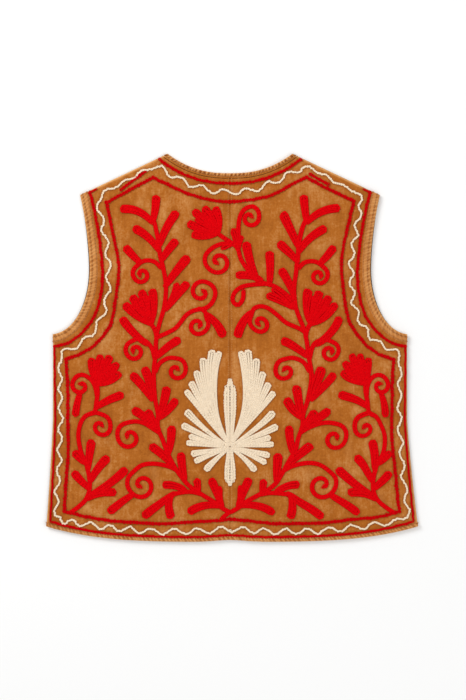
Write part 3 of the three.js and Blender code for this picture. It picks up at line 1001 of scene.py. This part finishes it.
def band_mesh(name, band, sides, seed):
    """A stitched band along an edge. With both sides it crosses the middle of the back."""
    distance = np.linspace(0, band.width + BAND_OVERHANG, int(band.width * 2.2) + 2)
    parts = []
    for side in sides:
        t = np.linspace(0, 1, int(band.edge.length / BAND_STEP) + 1)
        if len(sides) == 2 and side < 0:
            t = t[:0:-1]
        parts.append(band_points(band, t, side, distance, seed))
    x, y, under, high, wear_and_highlight, painted_shade = (np.concatenate(values) for values in zip(*parts))
    feet = under[:, [-1, 0]] + [0, BAND_INNER_LIFT]
    z = np.concatenate([under + high, feet], axis=1)
    x, y, wear_and_highlight, painted_shade = (np.concatenate([values, values[:, [-1, 0]]], axis=1)
                        for values in (x, y, wear_and_highlight, painted_shade))
    points = to_frame(x, y, z).reshape(-1, 3)
    return new_mesh(name, points, tube_faces(*x.shape), {"wear_and_highlight": wear_and_highlight, "painted_shade": painted_shade})


# ---- Materials ----

def node(tree, kind, inputs=None, **settings):
    """A node in a tree, with its settings and its inputs' values or links."""
    made = tree.nodes.new(kind)
    for key, value in settings.items():
        setattr(made, key, value)
    for key, value in (inputs or {}).items():
        if isinstance(value, bpy.types.NodeSocket):
            tree.links.new(value, made.inputs[key])
        else:
            made.inputs[key].default_value = value
    return made


def mixed(tree, factor, first, second):
    """A colour between two others."""
    return node(tree, "ShaderNodeMix", {0: factor, 6: first, 7: second},
                data_type="RGBA").outputs[2]


def maths(tree, operation, *values):
    return node(tree, "ShaderNodeMath", dict(enumerate(values)), operation=operation).outputs[0]


def noise(tree, vector, scale, detail, roughness=0.55):
    inputs = {"Vector": vector, "Scale": scale, "Detail": detail, "Roughness": roughness}
    return node(tree, "ShaderNodeTexNoise", inputs).outputs["Fac"]


def clouds(tree, vector, scale, detail, roughness=0.55, stretch=None, low=0.3, high=0.7):
    """Noise that fills 0 to 1. A stretch scales the place along each axis first."""
    if stretch:
        vector = node(tree, "ShaderNodeMapping", {"Vector": vector, "Scale": stretch}).outputs[0]
    inputs = {"Value": noise(tree, vector, scale, detail, roughness),
              "From Min": low, "From Max": high}
    return node(tree, "ShaderNodeMapRange", inputs).outputs[0]


def group_tree(name, tree_kind, inputs, outputs):
    """An empty node group with named sockets, and its inner input and output sockets."""
    tree = bpy.data.node_groups.new(name, tree_kind)
    for way, sockets in (("INPUT", inputs), ("OUTPUT", outputs)):
        for label, kind in sockets.items():
            tree.interface.new_socket(label, in_out=way, socket_type="NodeSocket" + kind)
    given, result = tree.nodes.new("NodeGroupInput"), tree.nodes.new("NodeGroupOutput")
    return tree, given.outputs, result.inputs


def nap_group():
    """Velvet's nap: an upright rib, mottling where the pile lies over, wear with a painted
    highlight, painted shade.
    """
    tree, given, result = group_tree(
        "Velvet Nap", "ShaderNodeTree",
        {"Colour": "Color", "Rubbed And Lit Colour": "Color", "Deep Colour": "Color",
         "Mottling": "Float", "Wear And Highlight": "Float", "Painted Shade": "Float"},
        {"Colour": "Color", "Height": "Float"})
    place = node(tree, "ShaderNodeTexCoord").outputs["Object"]
    broad = clouds(tree, place, 15.0, 5.0, 0.62, low=0.32, high=0.68)
    patchy = clouds(tree, place, 110.0, 5.0, 0.72, (1.0, 0.7, 1.0))
    streaks = clouds(tree, place, 1.0, 3.0, stretch=(430.0, 60.0, 90.0))
    crossed = clouds(tree, place, 1.0, 2.0, stretch=(120.0, 420.0, 90.0))
    pile = noise(tree, place, 1300.0, 3.0)
    grain = clouds(tree, place, 420.0, 4.0, 0.7)
    tone = 0.0
    for layer, share in ((broad, 0.28), (patchy, 0.26), (grain, 0.20), (streaks, 0.11),
                         (crossed, 0.07), (pile, 0.08)):
        tone = maths(tree, "MULTIPLY_ADD", layer, share, tone)
    tone = maths(tree, "MULTIPLY", maths(tree, "SUBTRACT", tone, 0.5), given["Mottling"])
    lighter = maths(tree, "MAXIMUM", tone, 0.0)
    deeper = maths(tree, "MULTIPLY", maths(tree, "MINIMUM", tone, 0.0), -1.0)
    # Wear lightens toward the rubbed colour; the same mix paints a highlight on the crests of
    # creases and ripples.
    rub_and_highlight = maths(tree, "MULTIPLY", given["Wear And Highlight"], maths(tree, "MULTIPLY_ADD", patchy, 0.7, 0.5))
    colour = mixed(tree, lighter, given["Colour"], given["Rubbed And Lit Colour"])
    colour = mixed(tree, deeper, colour, given["Deep Colour"])
    colour = mixed(tree, maths(tree, "MINIMUM", rub_and_highlight, 1.0), colour, given["Rubbed And Lit Colour"])
    # Painted shade: darkens the colour toward the deep colour in crease troughs, grooves, ripple
    # valleys, beside stitched rows and at the fronts' edges.
    colour = mixed(tree, given["Painted Shade"], colour, given["Deep Colour"])
    rib = maths(tree, "MULTIPLY_ADD", streaks, 0.6, maths(tree, "MULTIPLY", pile, 0.5))
    tree.links.new(colour, result["Colour"])
    tree.links.new(maths(tree, "MULTIPLY_ADD", patchy, 0.5, rib), result["Height"])
    return tree


def thread_group():
    """Spun thread: fine strands, and a dusty unevenness of dye."""
    tree, given, result = group_tree(
        "Spun Thread", "ShaderNodeTree",
        {"Colour": "Color", "Deep Colour": "Color", "Unevenness": "Float"},
        {"Colour": "Color", "Height": "Float"})
    place = node(tree, "ShaderNodeTexCoord").outputs["Object"]
    dye = clouds(tree, place, 190.0, 3.0)
    fibre = clouds(tree, place, 1.0, 2.0, stretch=(2600.0, 1500.0, 2000.0))
    amount = maths(tree, "MULTIPLY_ADD", fibre, 0.45, maths(tree, "MULTIPLY", dye, 0.55))
    amount = maths(tree, "MULTIPLY", amount, given["Unevenness"])
    tree.links.new(mixed(tree, amount, given["Colour"], given["Deep Colour"]), result["Colour"])
    tree.links.new(fibre, result["Height"])
    return tree


def new_material(name, finish):
    """A material with these values on its shader, its node tree and its shader."""
    material = bpy.data.materials.new(name)
    material.use_nodes = True
    shader = material.node_tree.nodes["Principled BSDF"]
    for key, value in finish.items():
        shader.inputs[key].default_value = value
    return material, material.node_tree, shader


def cover(tree, shader, group, given, bump_strength, bump_depth):
    """Feeds a group's colour and height to a material's shader."""
    source = node(tree, "ShaderNodeGroup", given, node_tree=group)
    tree.links.new(source.outputs["Colour"], shader.inputs["Base Color"])
    bump = node(tree, "ShaderNodeBump", {"Strength": bump_strength, "Distance": bump_depth,
                                         "Height": source.outputs["Height"]})
    tree.links.new(bump.outputs["Normal"], shader.inputs["Normal"])


VELVET_FINISH = {
    "Roughness": 0.92, "Specular IOR Level": 0.06, "Sheen Weight": 0.12,
    "Sheen Roughness": 0.4, "Sheen Tint": (1.0, 0.62, 0.25, 1),
}
VELVET_BUMP, THREAD_BUMP = (0.55, 0.0006), (0.5, 0.0003)
# The fronts' deep colour, near black, paints shade at their edges where they peek out under the
# back; the cream and tan ones are the threads' uneven dye.
FRONT_DEEP_SHADE, CREAM_DEEP, TAN_DEEP = (0.05, 0.014, 0.004), (0.62, 0.47, 0.32), (0.36, 0.13, 0.03)
# The neck's topstitching is dark brown: a row of stitches whose colour paints the shade of the
# groove beside the neck binding.
SHADE_BROWN, SHADE_BROWN_DEEP = (0.13, 0.045, 0.012), (0.06, 0.02, 0.006)


def velvet_material(name, colour, rubbed_and_lit, deep, mottling):
    material, tree, shader = new_material(name, VELVET_FINISH)
    # From the mesh: wear with a painted highlight, and painted shade.
    worn_and_lit, shaded = (node(tree, "ShaderNodeAttribute", attribute_name=key).outputs["Fac"]
                    for key in ("wear_and_highlight", "painted_shade"))
    given = {"Colour": (*colour, 1), "Rubbed And Lit Colour": (*rubbed_and_lit, 1), "Deep Colour": (*deep, 1),
             "Mottling": mottling, "Wear And Highlight": worn_and_lit, "Painted Shade": shaded}
    group = bpy.data.node_groups.get("Velvet Nap") or nap_group()
    cover(tree, shader, group, given, *VELVET_BUMP)
    return material


def thread_material(name, colour, deep, unevenness, roughness):
    finish = {"Roughness": roughness, "Specular IOR Level": 0.03}
    material, tree, shader = new_material(name, finish)
    given = {"Colour": (*colour, 1), "Deep Colour": (*deep, 1), "Unevenness": unevenness}
    group = bpy.data.node_groups.get("Spun Thread") or thread_group()
    cover(tree, shader, group, given, *THREAD_BUMP)
    return material


def material_named(name):
    """A finish by name, made the first time it is asked for."""
    made = bpy.data.materials.get(name)
    if made:
        return made
    cloth, threads = bpy.context.scene.waistcoat_cloth, bpy.context.scene.waistcoat_threads
    velvets = {
        "tan velvet": (cloth.velvet_colour, cloth.rubbed_and_lit_colour, cloth.deep_colour),
        "shaded velvet": (cloth.velvet_colour, cloth.rubbed_and_lit_colour, FRONT_DEEP_SHADE),
        "rubbed velvet": (cloth.band_colour, cloth.rubbed_and_lit_colour, cloth.deep_colour),
    }
    if name in velvets:
        return velvet_material(name, *velvets[name], cloth.mottling)
    red = np.array(threads.red_colour)
    spun = {
        "red wool": (red, 0.45 * red, 0.35, 0.9),
        # The border lines take a darker copy of the red wool: painted shade.
        "red wool with painted shade": (0.78 * red, 0.35 * red, 0.5, 0.9),
        "cream cotton": (threads.cream_colour, CREAM_DEEP, 0.4, 0.75),
        "tan thread": (threads.tan_colour, TAN_DEEP, 0.5, 0.7),
        "brown thread for groove shade": (SHADE_BROWN, SHADE_BROWN_DEEP, 0.5, 0.8),
    }
    return thread_material(name, *spun[name])


# ---- Stitches by Geometry Nodes ----

FULL_PITCH = 4.0
CHAIN_BENDS, CHAIN_SIDES, CHAIN_THREAD = 8, 4, 0.64
CHAIN_HALF_LENGTH, CHAIN_HALF_WIDTH, CHAIN_TAPER, CHAIN_TILT = 2.2, 0.9, 0.30, 0.28
RUN_LENGTH, RUN_THICKNESS, RUN_SIDES = 2.3, 0.42, 4
# A sewn stitch's sections: (share of its half length, share of its thickness, height).
RUN_SECTIONS = [(-1, 0.25, -0.55), (-0.6, 0.9, 0), (0, 1, 0.1), (0.6, 0.9, 0), (1, 0.25, -0.55)]


def chain_stitch_mesh():
    """One closed loop of thread, a stitch long, lying along +X with its tail at -X."""
    t = np.linspace(0, 2 * math.pi, CHAIN_BENDS, endpoint=False)
    y = CHAIN_HALF_WIDTH * np.sin(t) * (1 + CHAIN_TAPER * np.cos(t))
    line = np.stack([CHAIN_HALF_LENGTH * np.cos(t), y, CHAIN_TILT * np.cos(t)], axis=1)
    ahead = np.roll(line, -1, axis=0) - np.roll(line, 1, axis=0)
    ahead /= np.linalg.norm(ahead, axis=1, keepdims=True)
    out = np.cross(ahead, (0, 0, 1.0))
    out /= np.linalg.norm(out, axis=1, keepdims=True)
    up = np.cross(out, ahead)
    a = np.linspace(0, 2 * math.pi, CHAIN_SIDES, endpoint=False) + math.pi / 4
    a = a[None, :, None]
    points = line[:, None] + CHAIN_THREAD * (np.cos(a) * out[:, None] + np.sin(a) * up[:, None])
    faces = tube_faces(CHAIN_BENDS, CHAIN_SIDES, closed=True)
    return new_mesh("chain stitch", points.reshape(-1, 3) * MM, faces)


def run_stitch_mesh():
    """One short sewn stitch that dips into the cloth at both ends, lying along X."""
    a = np.linspace(0, 2 * math.pi, RUN_SIDES, endpoint=False)
    points = [[place * RUN_LENGTH / 2, fat * RUN_THICKNESS * math.cos(k),
               height + fat * RUN_THICKNESS * math.sin(k)]
              for place, fat, height in RUN_SECTIONS for k in a]
    return new_mesh("run stitch", np.array(points) * MM, tube_faces(len(RUN_SECTIONS), RUN_SIDES))


def stitch_tree():
    """Sets stitches end to end along each line, over a low padding of the same thread."""
    tree, given, result = group_tree(
        "Rows of Stitches", "GeometryNodeTree",
        {"Rows": "Geometry", "Stitch": "Object", "Pitch": "Float", "Turn": "Float",
         "Size Spread": "Float", "Padding Width": "Float", "Padding Height": "Float",
         "Seed": "Int", "Material": "Material"},
        {"Stitches": "Geometry"})

    def add(kind, inputs, **settings):
        return node(tree, kind, inputs, **settings).outputs

    def random(low, high, seed):
        inputs = {2: low, 3: high, "Seed": seed}
        return add("FunctionNodeRandomValue", inputs, data_type="FLOAT")[1]

    rows = add("GeometryNodeResampleCurve",
               {"Curve": given["Rows"], "Length": given["Pitch"]}, mode="LENGTH")[0]
    places = add("GeometryNodeCurveToPoints", {"Curve": rows}, mode="EVALUATED")
    tangent = places["Tangent"]
    yaw = add("FunctionNodeAlignRotationToVector", {"Vector": tangent}, axis="X", pivot_axis="Z")
    pitch = add("FunctionNodeAlignRotationToVector", {"Rotation": yaw[0], "Vector": tangent},
                axis="X", pivot_axis="Y")
    turn = random(maths(tree, "MULTIPLY", given["Turn"], -1.0), given["Turn"], given["Seed"])
    twist = add("FunctionNodeAxisAngleToRotation", {"Axis": (0, 0, 1), "Angle": turn})
    facing = add("FunctionNodeRotateRotation", {"Rotation": pitch[0], "Rotate By": twist[0]},
                 rotation_space="LOCAL")
    size = random(maths(tree, "SUBTRACT", 1.0, given["Size Spread"]),
                  maths(tree, "ADD", 1.0, given["Size Spread"]),
                  maths(tree, "ADD", given["Seed"], 1.0))
    radius = add("GeometryNodeInputRadius", {})[0]
    length = maths(tree, "MULTIPLY", given["Pitch"], 1 / (FULL_PITCH * MM))
    width = maths(tree, "MULTIPLY", radius, size)
    scale = add("ShaderNodeCombineXYZ", {"X": length, "Y": width, "Z": size})
    stitch = add("GeometryNodeObjectInfo", {"Object": given["Stitch"], "As Instance": True})
    placed = add("GeometryNodeInstanceOnPoints",
                 {"Points": places[0], "Instance": stitch["Geometry"], "Rotation": facing[0],
                  "Scale": scale[0]})
    upright = add("GeometryNodeSetCurveNormal", {"Curve": rows}, mode="Z_UP")
    section = add("GeometryNodeCurvePrimitiveCircle", {"Resolution": 4, "Radius": 1.0})
    flat = add("ShaderNodeCombineXYZ",
               {"X": given["Padding Width"], "Y": given["Padding Height"], "Z": 1.0})
    profile = add("GeometryNodeTransform", {"Geometry": section[0], "Scale": flat[0]})
    padding = add("GeometryNodeCurveToMesh",
                  {"Curve": upright[0], "Profile Curve": profile[0], "Fill Caps": True})
    both = tree.nodes.new("GeometryNodeJoinGeometry")
    for part in (placed, padding):
        tree.links.new(part[0], both.inputs[0])
    real = add("GeometryNodeRealizeInstances", {"Geometry": both.outputs[0]})
    coated = add("GeometryNodeSetMaterial", {"Geometry": real[0], "Material": given["Material"]})
    tree.links.new(coated[0], result["Stitches"])
    return tree


def rows_object(name, rows, surface, lift):
    """A curve object with one line for each row, lying on a surface."""
    curve = bpy.data.curves.new(name, "CURVE")
    curve.dimensions = "3D"
    for row in rows:
        x, y = row.line.T
        places = to_frame(x, y, surface(x, y) + lift)
        spline = curve.splines.new("POLY")
        spline.points.add(len(places) - 1)
        spline.points.foreach_set("co", np.c_[places, np.ones(len(places))].ravel())
        spline.points.foreach_set("radius", np.ones(len(places)) * row.width / STITCH_WIDTH)
    return new_object(name, curve)


def stitched(name, rows, stitch, surface, material, pitch, lift, padding, turn=0.17, seed=1):
    """A plain mesh of stitches along rows, made by the stitching tree."""
    source = rows_object(name + " rows", rows, surface, lift)
    modifier = source.modifiers.new("Stitches", "NODES")
    modifier.node_group = bpy.data.node_groups.get("Rows of Stitches") or stitch_tree()
    values = {"Stitch": stitch, "Pitch": pitch * MM, "Turn": turn, "Size Spread": SIZE_SPREAD,
              "Padding Width": padding[0] * MM, "Padding Height": padding[1] * MM, "Seed": seed,
              "Material": material}
    for item in modifier.node_group.interface.items_tree:
        if item.in_out == "INPUT" and item.name in values:
            modifier[item.identifier] = values[item.name]
    source.update_tag()
    bpy.context.view_layer.update()
    evaluated = source.evaluated_get(bpy.context.evaluated_depsgraph_get())
    mesh = bpy.data.meshes.new_from_object(evaluated)
    source.modifiers.remove(modifier)
    bpy.data.curves.remove(source.data)
    if not mesh.polygons or not mesh.materials:
        raise RuntimeError(f"{name} came out without stitches or without its thread")
    mesh.name = name
    mesh.shade_smooth()
    return new_object(name, mesh)


# ---- Settings ----

def a_number(name, description, default, unit="LENGTH"):
    return bpy.props.FloatProperty(name=name, description=description, default=default, unit=unit)


def a_colour(name, description, default):
    return bpy.props.FloatVectorProperty(name=name, description=description, default=default,
                                         subtype="COLOR")


class ClothSettings(bpy.types.PropertyGroup):
    """The velvet."""
    cell: a_number("Cell", "Size of the cloth mesh's cells", 2.9 * MM)
    velvet_colour: a_colour("Velvet", "The velvet's own colour", (0.425, 0.130, 0.017))
    band_colour: a_colour("Bands", "The turned bands' colour", (0.530, 0.200, 0.050))
    # The rubbed colour serves for wear, the lighter side of the mottling and the painted highlight
    # on crests.
    rubbed_and_lit_colour: a_colour("Rubbed", "Where the pile is worn or lies over",
                            (0.680, 0.340, 0.120))
    # The deep colour serves for the darker side of the mottling and for the painted shade.
    deep_colour: a_colour("Deep", "In creases and between ribs", (0.215, 0.048, 0.005))
    mottling: a_number("Mottling", "How uneven the nap is", 2.1, "NONE")


class ThreadSettings(bpy.types.PropertyGroup):
    """The embroidery threads."""
    pitch: a_number("Pitch", "Length of a red chain stitch", 4.2 * MM)
    fine_pitch: a_number("Fine Pitch", "Length of a chain stitch in the palmette", 3.4 * MM)
    wave_pitch: a_number("Wave Pitch", "Length of a chain stitch in the wavy line", 2.8 * MM)
    red_colour: a_colour("Red", "Red wool", (0.82, 0.001, 0.004))
    cream_colour: a_colour("Cream", "Cream cotton", (0.97, 0.81, 0.61))
    tan_colour: a_colour("Tan", "Sewing thread of the seams", (0.62, 0.30, 0.11))


class StageSettings(bpy.types.PropertyGroup):
    """The floor, the light and the camera."""
    camera_height: a_number("Camera Height", "From the floor to the camera", 2.136)
    lens: a_number("Lens", "Focal length", 85.0, "CAMERA")
    floor_colour: a_colour("Floor", "The floor's colour", (0.93, 0.93, 0.925))


# ---- Operators ----

FRONT_CELL_SCALE, FRONT_ROLL, FRONT_ROLL_DROP, FRONT_SHADE = 1.8, 1.6, 0.9, (1.2, 3.0)
# How far the thread sinks the cloth, the least cloth left, and the painted shade beside stitched
# rows.
THREAD_SINK, LEAST_CLOTH, PULL_SHADE = 0.3, 0.5, 0.30
# Wear along the seams, painted shade in the centre seam's groove, and on creases a painted
# highlight on crests and painted shade in troughs.
SEAM_WEAR, SEAM_WEAR_REACH, SEAM_SHADE, CREASE_LIGHT_AND_SHADE = 1.2, (0.3, 3.4), 0.35, 0.25
BAND_GROOVE_SINK = 0.35
TOPSTITCH_FROM_SEAM, NECK_TOPSTITCH, SEAM_FOOT, SEAM_HEAD = 2.3, 6.6, 8, 7
CHAIN_LIFT, CHAIN_PADDING, FIRST_SEED, SIZE_SPREAD = 0.35, 0.45, 5, 0.14


def finish_piece(piece, material=None, stands_for=None):
    """Gives a piece its body and its material, and hides the solid that it stands for."""
    if material:
        piece.data.materials.append(material_named(material))
    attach(piece, "root")
    if stands_for:
        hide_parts(stands_for)


class WAISTCOAT_OT_fronts(bpy.types.Operator):
    """Makes the two fronts, which lie on the table under the back"""
    bl_idname = "waistcoat.fronts"
    bl_label = "Fronts"

    def execute(self, context):
        cell = context.scene.waistcoat_cloth.cell / MM * FRONT_CELL_SCALE
        for name, side in SIDES.items():
            plan = lay(front_plan(cell), side)
            inside = edge_distance(plan)
            under = np.full(inside.shape, TABLE_Z)
            top = TABLE_Z + FRONT_TOP - FRONT_ROLL_DROP * (1 - rolled(inside, FRONT_ROLL))
            # Painted shade at the fronts' edges, where they peek out under the back.
            tones = {"wear_and_highlight": np.zeros_like(inside), "painted_shade": 1 - smoothstep(inside, *FRONT_SHADE)}
            piece = sheet_mesh(f"front_{name}_velvet", plan, under, top, tones)
            finish_piece(piece, "shaded velvet", f"front_{name}")
        return {"FINISHED"}


class WAISTCOAT_OT_back(bpy.types.Operator):
    """Makes the two halves of the back, with their folds and creases"""
    bl_idname = "waistcoat.back"
    bl_label = "Back"

    def execute(self, context):
        for name, side in SIDES.items():
            plan = lay(back_plan(context.scene.waistcoat_cloth.cell / MM), side)
            x, y = plan[..., 0], plan[..., 1]
            pull = thread_pull(x, y)
            creases = ridges(CREASES, x, y)
            under = back_underside(x, y)
            top = np.maximum(back_top(x, y) - THREAD_SINK * pull, under + LEAST_CLOTH)
            edge = np.minimum(*seam_distances(x, y))
            # Wear at the side and shoulder seams, and a painted highlight on the crests of creases.
            wear_and_highlight = SEAM_WEAR * (1 - smoothstep(edge, *SEAM_WEAR_REACH))
            wear_and_highlight = wear_and_highlight + CREASE_LIGHT_AND_SHADE * np.clip(creases, 0, 1)
            # Painted shade beside stitched rows, in the centre seam's groove and in the troughs of
            # creases.
            painted_shade = PULL_SHADE * pull + SEAM_SHADE * np.exp(-((x / SEAM_GROOVE_WIDTH) ** 2))
            painted_shade = np.clip(painted_shade + CREASE_LIGHT_AND_SHADE * np.clip(-creases, 0, 1), 0, 1)
            piece = sheet_mesh(f"back_{name}_velvet", plan, under, top,
                               {"wear_and_highlight": wear_and_highlight, "painted_shade": painted_shade})
            finish_piece(piece, "tan velvet", f"back_{name}")
        return {"FINISHED"}


class WAISTCOAT_OT_bands(bpy.types.Operator):
    """Makes the neck binding, the armhole bands and the hem band"""
    bl_idname = "waistcoat.bands"
    bl_label = "Bands"

    def execute(self, context):
        both = tuple(SIDES.values())
        work = [("neck_binding", NECK_BAND, both, NECK_SEED),
                ("hem_band", HEM_BAND, both, HEM_SEED)]
        work += [(f"armhole_band_{name}", ARMHOLE_BAND, (side,), ARMHOLE_SEED + side)
                 for name, side in SIDES.items()]
        for name, band, sides, seed in work:
            piece = band_mesh(f"{name}_turned", band, sides, seed)
            finish_piece(piece, "rubbed velvet", name)
        return {"FINISHED"}


def band_groove_top(x, y):
    return back_underside(x, y) + BAND_THICKNESS - BAND_GROOVE_SINK


class WAISTCOAT_OT_seams(bpy.types.Operator):
    """Sews the topstitching of the bands, of the neck and of the centre back seam"""
    bl_idname = "waistcoat.seams"
    bl_label = "Seams"

    def execute(self, context):
        stitch = run_stitch_mesh()
        tan, brown = material_named("tan thread"), material_named("brown thread for groove shade")

        def inside_rows(*lines):
            return [Row(evenly(lay(edge.inside(SHARES, inside), side), 1.0), STITCH_WIDTH)
                    for side in SIDES.values() for edge, inside in lines]

        grooves = inside_rows(*((band.edge, groove) for band in (NECK_BAND, HEM_BAND, ARMHOLE_BAND)
                                for groove in band.grooves))
        up = np.linspace(hem_y(0) + SEAM_FOOT, CENTRE_BACK_LENGTH - SEAM_HEAD, 300)
        seams = [Row(np.stack([np.full_like(up, side * TOPSTITCH_FROM_SEAM), up], axis=1),
                     STITCH_WIDTH) for side in SIDES.values()]
        neck = inside_rows((NECK, NECK_TOPSTITCH))
        thin, full = (0.05, 0.05), (0.4, 0.25)
        # The neck's row is worked in dark brown, which paints the shade of the groove beside the
        # neck binding.
        for name, lines, surface, thread, pitch, lift, padding, turn in (
                ("band_topstitching", grooves, band_groove_top, tan, 3.3, 0.05, thin, 0.1),
                ("centre_seam_topstitching", seams, back_top, tan, 3.0, 0.08, thin, 0.06),
                ("neck_topstitching", neck, back_top, brown, 3.0, 0.1, full, 0.08)):
            piece = stitched(name, lines, stitch, surface, thread, pitch, lift, padding, turn)
            finish_piece(piece)
        bpy.data.objects.remove(stitch)
        return {"FINISHED"}


class WAISTCOAT_OT_embroidery(bpy.types.Operator):
    """Works the vines, flowers, palmette and borders in chain stitch"""
    bl_idname = "waistcoat.embroidery"
    bl_label = "Embroidery"

    def execute(self, context):
        stitch = chain_stitch_mesh()
        rows, threads = all_rows(), context.scene.waistcoat_threads
        red, cream = "red_thread", "cream_thread"
        work = [
            ("vine_left", "left", "red wool", red, threads.pitch, 1.75),
            ("vine_right", "right", "red wool", red, threads.pitch, 1.75),
            ("neck_spray", "spray", "red wool", red, threads.pitch, 1.75),
            ("border_lines", "borders", "red wool with painted shade", red, threads.pitch, 1.4),
            ("wavy_line", "wave", "cream cotton", cream, threads.wave_pitch, 1.0),
            ("palmette", "palmette", "cream cotton", cream, threads.fine_pitch, 1.6),
        ]
        for seed, (name, part, thread, slot, pitch, padding) in enumerate(work, FIRST_SEED):
            piece = stitched(name, rows[part], stitch, back_top, material_named(thread),
                             pitch / MM, CHAIN_LIFT, (padding, CHAIN_PADDING), seed=seed)
            finish_piece(piece)
        bpy.data.objects.remove(stitch)
        return {"FINISHED"}


class WAISTCOAT_OT_declare(bpy.types.Operator):
    bl_idname = "waistcoat.declare"
    bl_label = "Declare Sheets"

    def execute(self, context):
        sewn = {
            "left": ["neck_binding_turned", "armhole_band_left_turned", "vine_left", "neck_spray",
                     "border_lines", "wavy_line", "palmette", "centre_seam_topstitching",
                     "neck_topstitching"],
            "right": ["hem_band_turned", "armhole_band_right_turned", "vine_right",
                      "band_topstitching"],
        }
        for name, pieces in sewn.items():
            piece = bpy.data.objects.get(f"back_{name}_velvet")
            if piece is None:
                raise RuntimeError("Make the back before its sheets are declared")
            cell = context.scene.waistcoat_cloth.cell / MM
            flat, area = flat_of(lay(back_plan(cell), SIDES[name]))
        return {"FINISHED"}


FLOOR_HALF, SKY_STRENGTH = 3.0, 0.66
# The soft lights: (name, place, size, power), in metres and watts.
LIGHTS = [("key", (-1.3, 1.3, 1.35), 0.9, 28.0), ("fill", (1.1, -0.9, 1.8), 1.6, 11.0)]
CAMERA_PLACE, SENSOR_WIDTH = (0.0011, -0.0028), 36.0


class WAISTCOAT_OT_stage(bpy.types.Operator):
    """Sets the floor, the soft light and the camera straight above"""
    bl_idname = "waistcoat.stage"
    bl_label = "Stage"

    def execute(self, context):
        settings = context.scene.waistcoat_stage
        corners = [(x * FLOOR_HALF, y * FLOOR_HALF, 0)
                   for x, y in ((-1, -1), (1, -1), (1, 1), (-1, 1))]
        floor = new_mesh("floor", corners, [[0, 1, 2, 3]], closed=False)
        finish = {"Base Color": (*settings.floor_colour, 1), "Roughness": 0.9}
        floor.data.materials.append(new_material("pale floor", finish)[0])
        world = bpy.data.worlds.new("soft white")
        world.use_nodes = True
        sky = world.node_tree.nodes["Background"]
        sky.inputs["Color"].default_value = (1, 1, 1, 1)
        sky.inputs["Strength"].default_value = SKY_STRENGTH
        context.scene.world = world
        for name, place, size, power in LIGHTS:
            light = bpy.data.lights.new(name, "AREA")
            light.size, light.energy = size, power
            lamp = new_object(name, light)
            lamp.location = place
            lamp.rotation_euler = lamp.location.to_track_quat("Z", "Y").to_euler()
        camera = bpy.data.cameras.new("above")
        camera.lens, camera.sensor_width = settings.lens, SENSOR_WIDTH
        eye = new_object("above", camera)
        eye.location = (*CAMERA_PLACE, settings.camera_height)
        context.scene.camera = eye
        context.scene.view_settings.view_transform = "Standard"
        return {"FINISHED"}


class WAISTCOAT_PT_panel(bpy.types.Panel):
    """The waistcoat's settings, and its makers in order"""
    bl_idname = "WAISTCOAT_PT_panel"
    bl_label = "Embroidered Waistcoat"
    bl_space_type = "VIEW_3D"
    bl_region_type = "UI"
    bl_category = "Waistcoat"

    def draw(self, context):
        for name, settings in SETTINGS.items():
            for key in settings.__annotations__:
                self.layout.prop(getattr(context.scene, name), key)
        for operator in OPERATORS:
            self.layout.operator(operator.bl_idname)


SETTINGS = {
    "waistcoat_cloth": ClothSettings,
    "waistcoat_threads": ThreadSettings,
    "waistcoat_stage": StageSettings,
}
OPERATORS = [
    WAISTCOAT_OT_fronts, WAISTCOAT_OT_back, WAISTCOAT_OT_bands, WAISTCOAT_OT_seams,
    WAISTCOAT_OT_embroidery, WAISTCOAT_OT_declare, WAISTCOAT_OT_stage,
]


def register():
    for settings in SETTINGS.values():
        bpy.utils.register_class(settings)
    for name, settings in SETTINGS.items():
        setattr(bpy.types.Scene, name, bpy.props.PointerProperty(type=settings))
    for operator in OPERATORS:
        bpy.utils.register_class(operator)
    bpy.utils.register_class(WAISTCOAT_PT_panel)


def unregister():
    bpy.utils.unregister_class(WAISTCOAT_PT_panel)
    for operator in reversed(OPERATORS):
        bpy.utils.unregister_class(operator)
    for name, settings in SETTINGS.items():
        delattr(bpy.types.Scene, name)
        bpy.utils.unregister_class(settings)


def main():
    register()
    for operator in OPERATORS:
        group, name = operator.bl_idname.split(".")
        getattr(getattr(bpy.ops, group), name)()


if __name__ == "__main__":
    main()
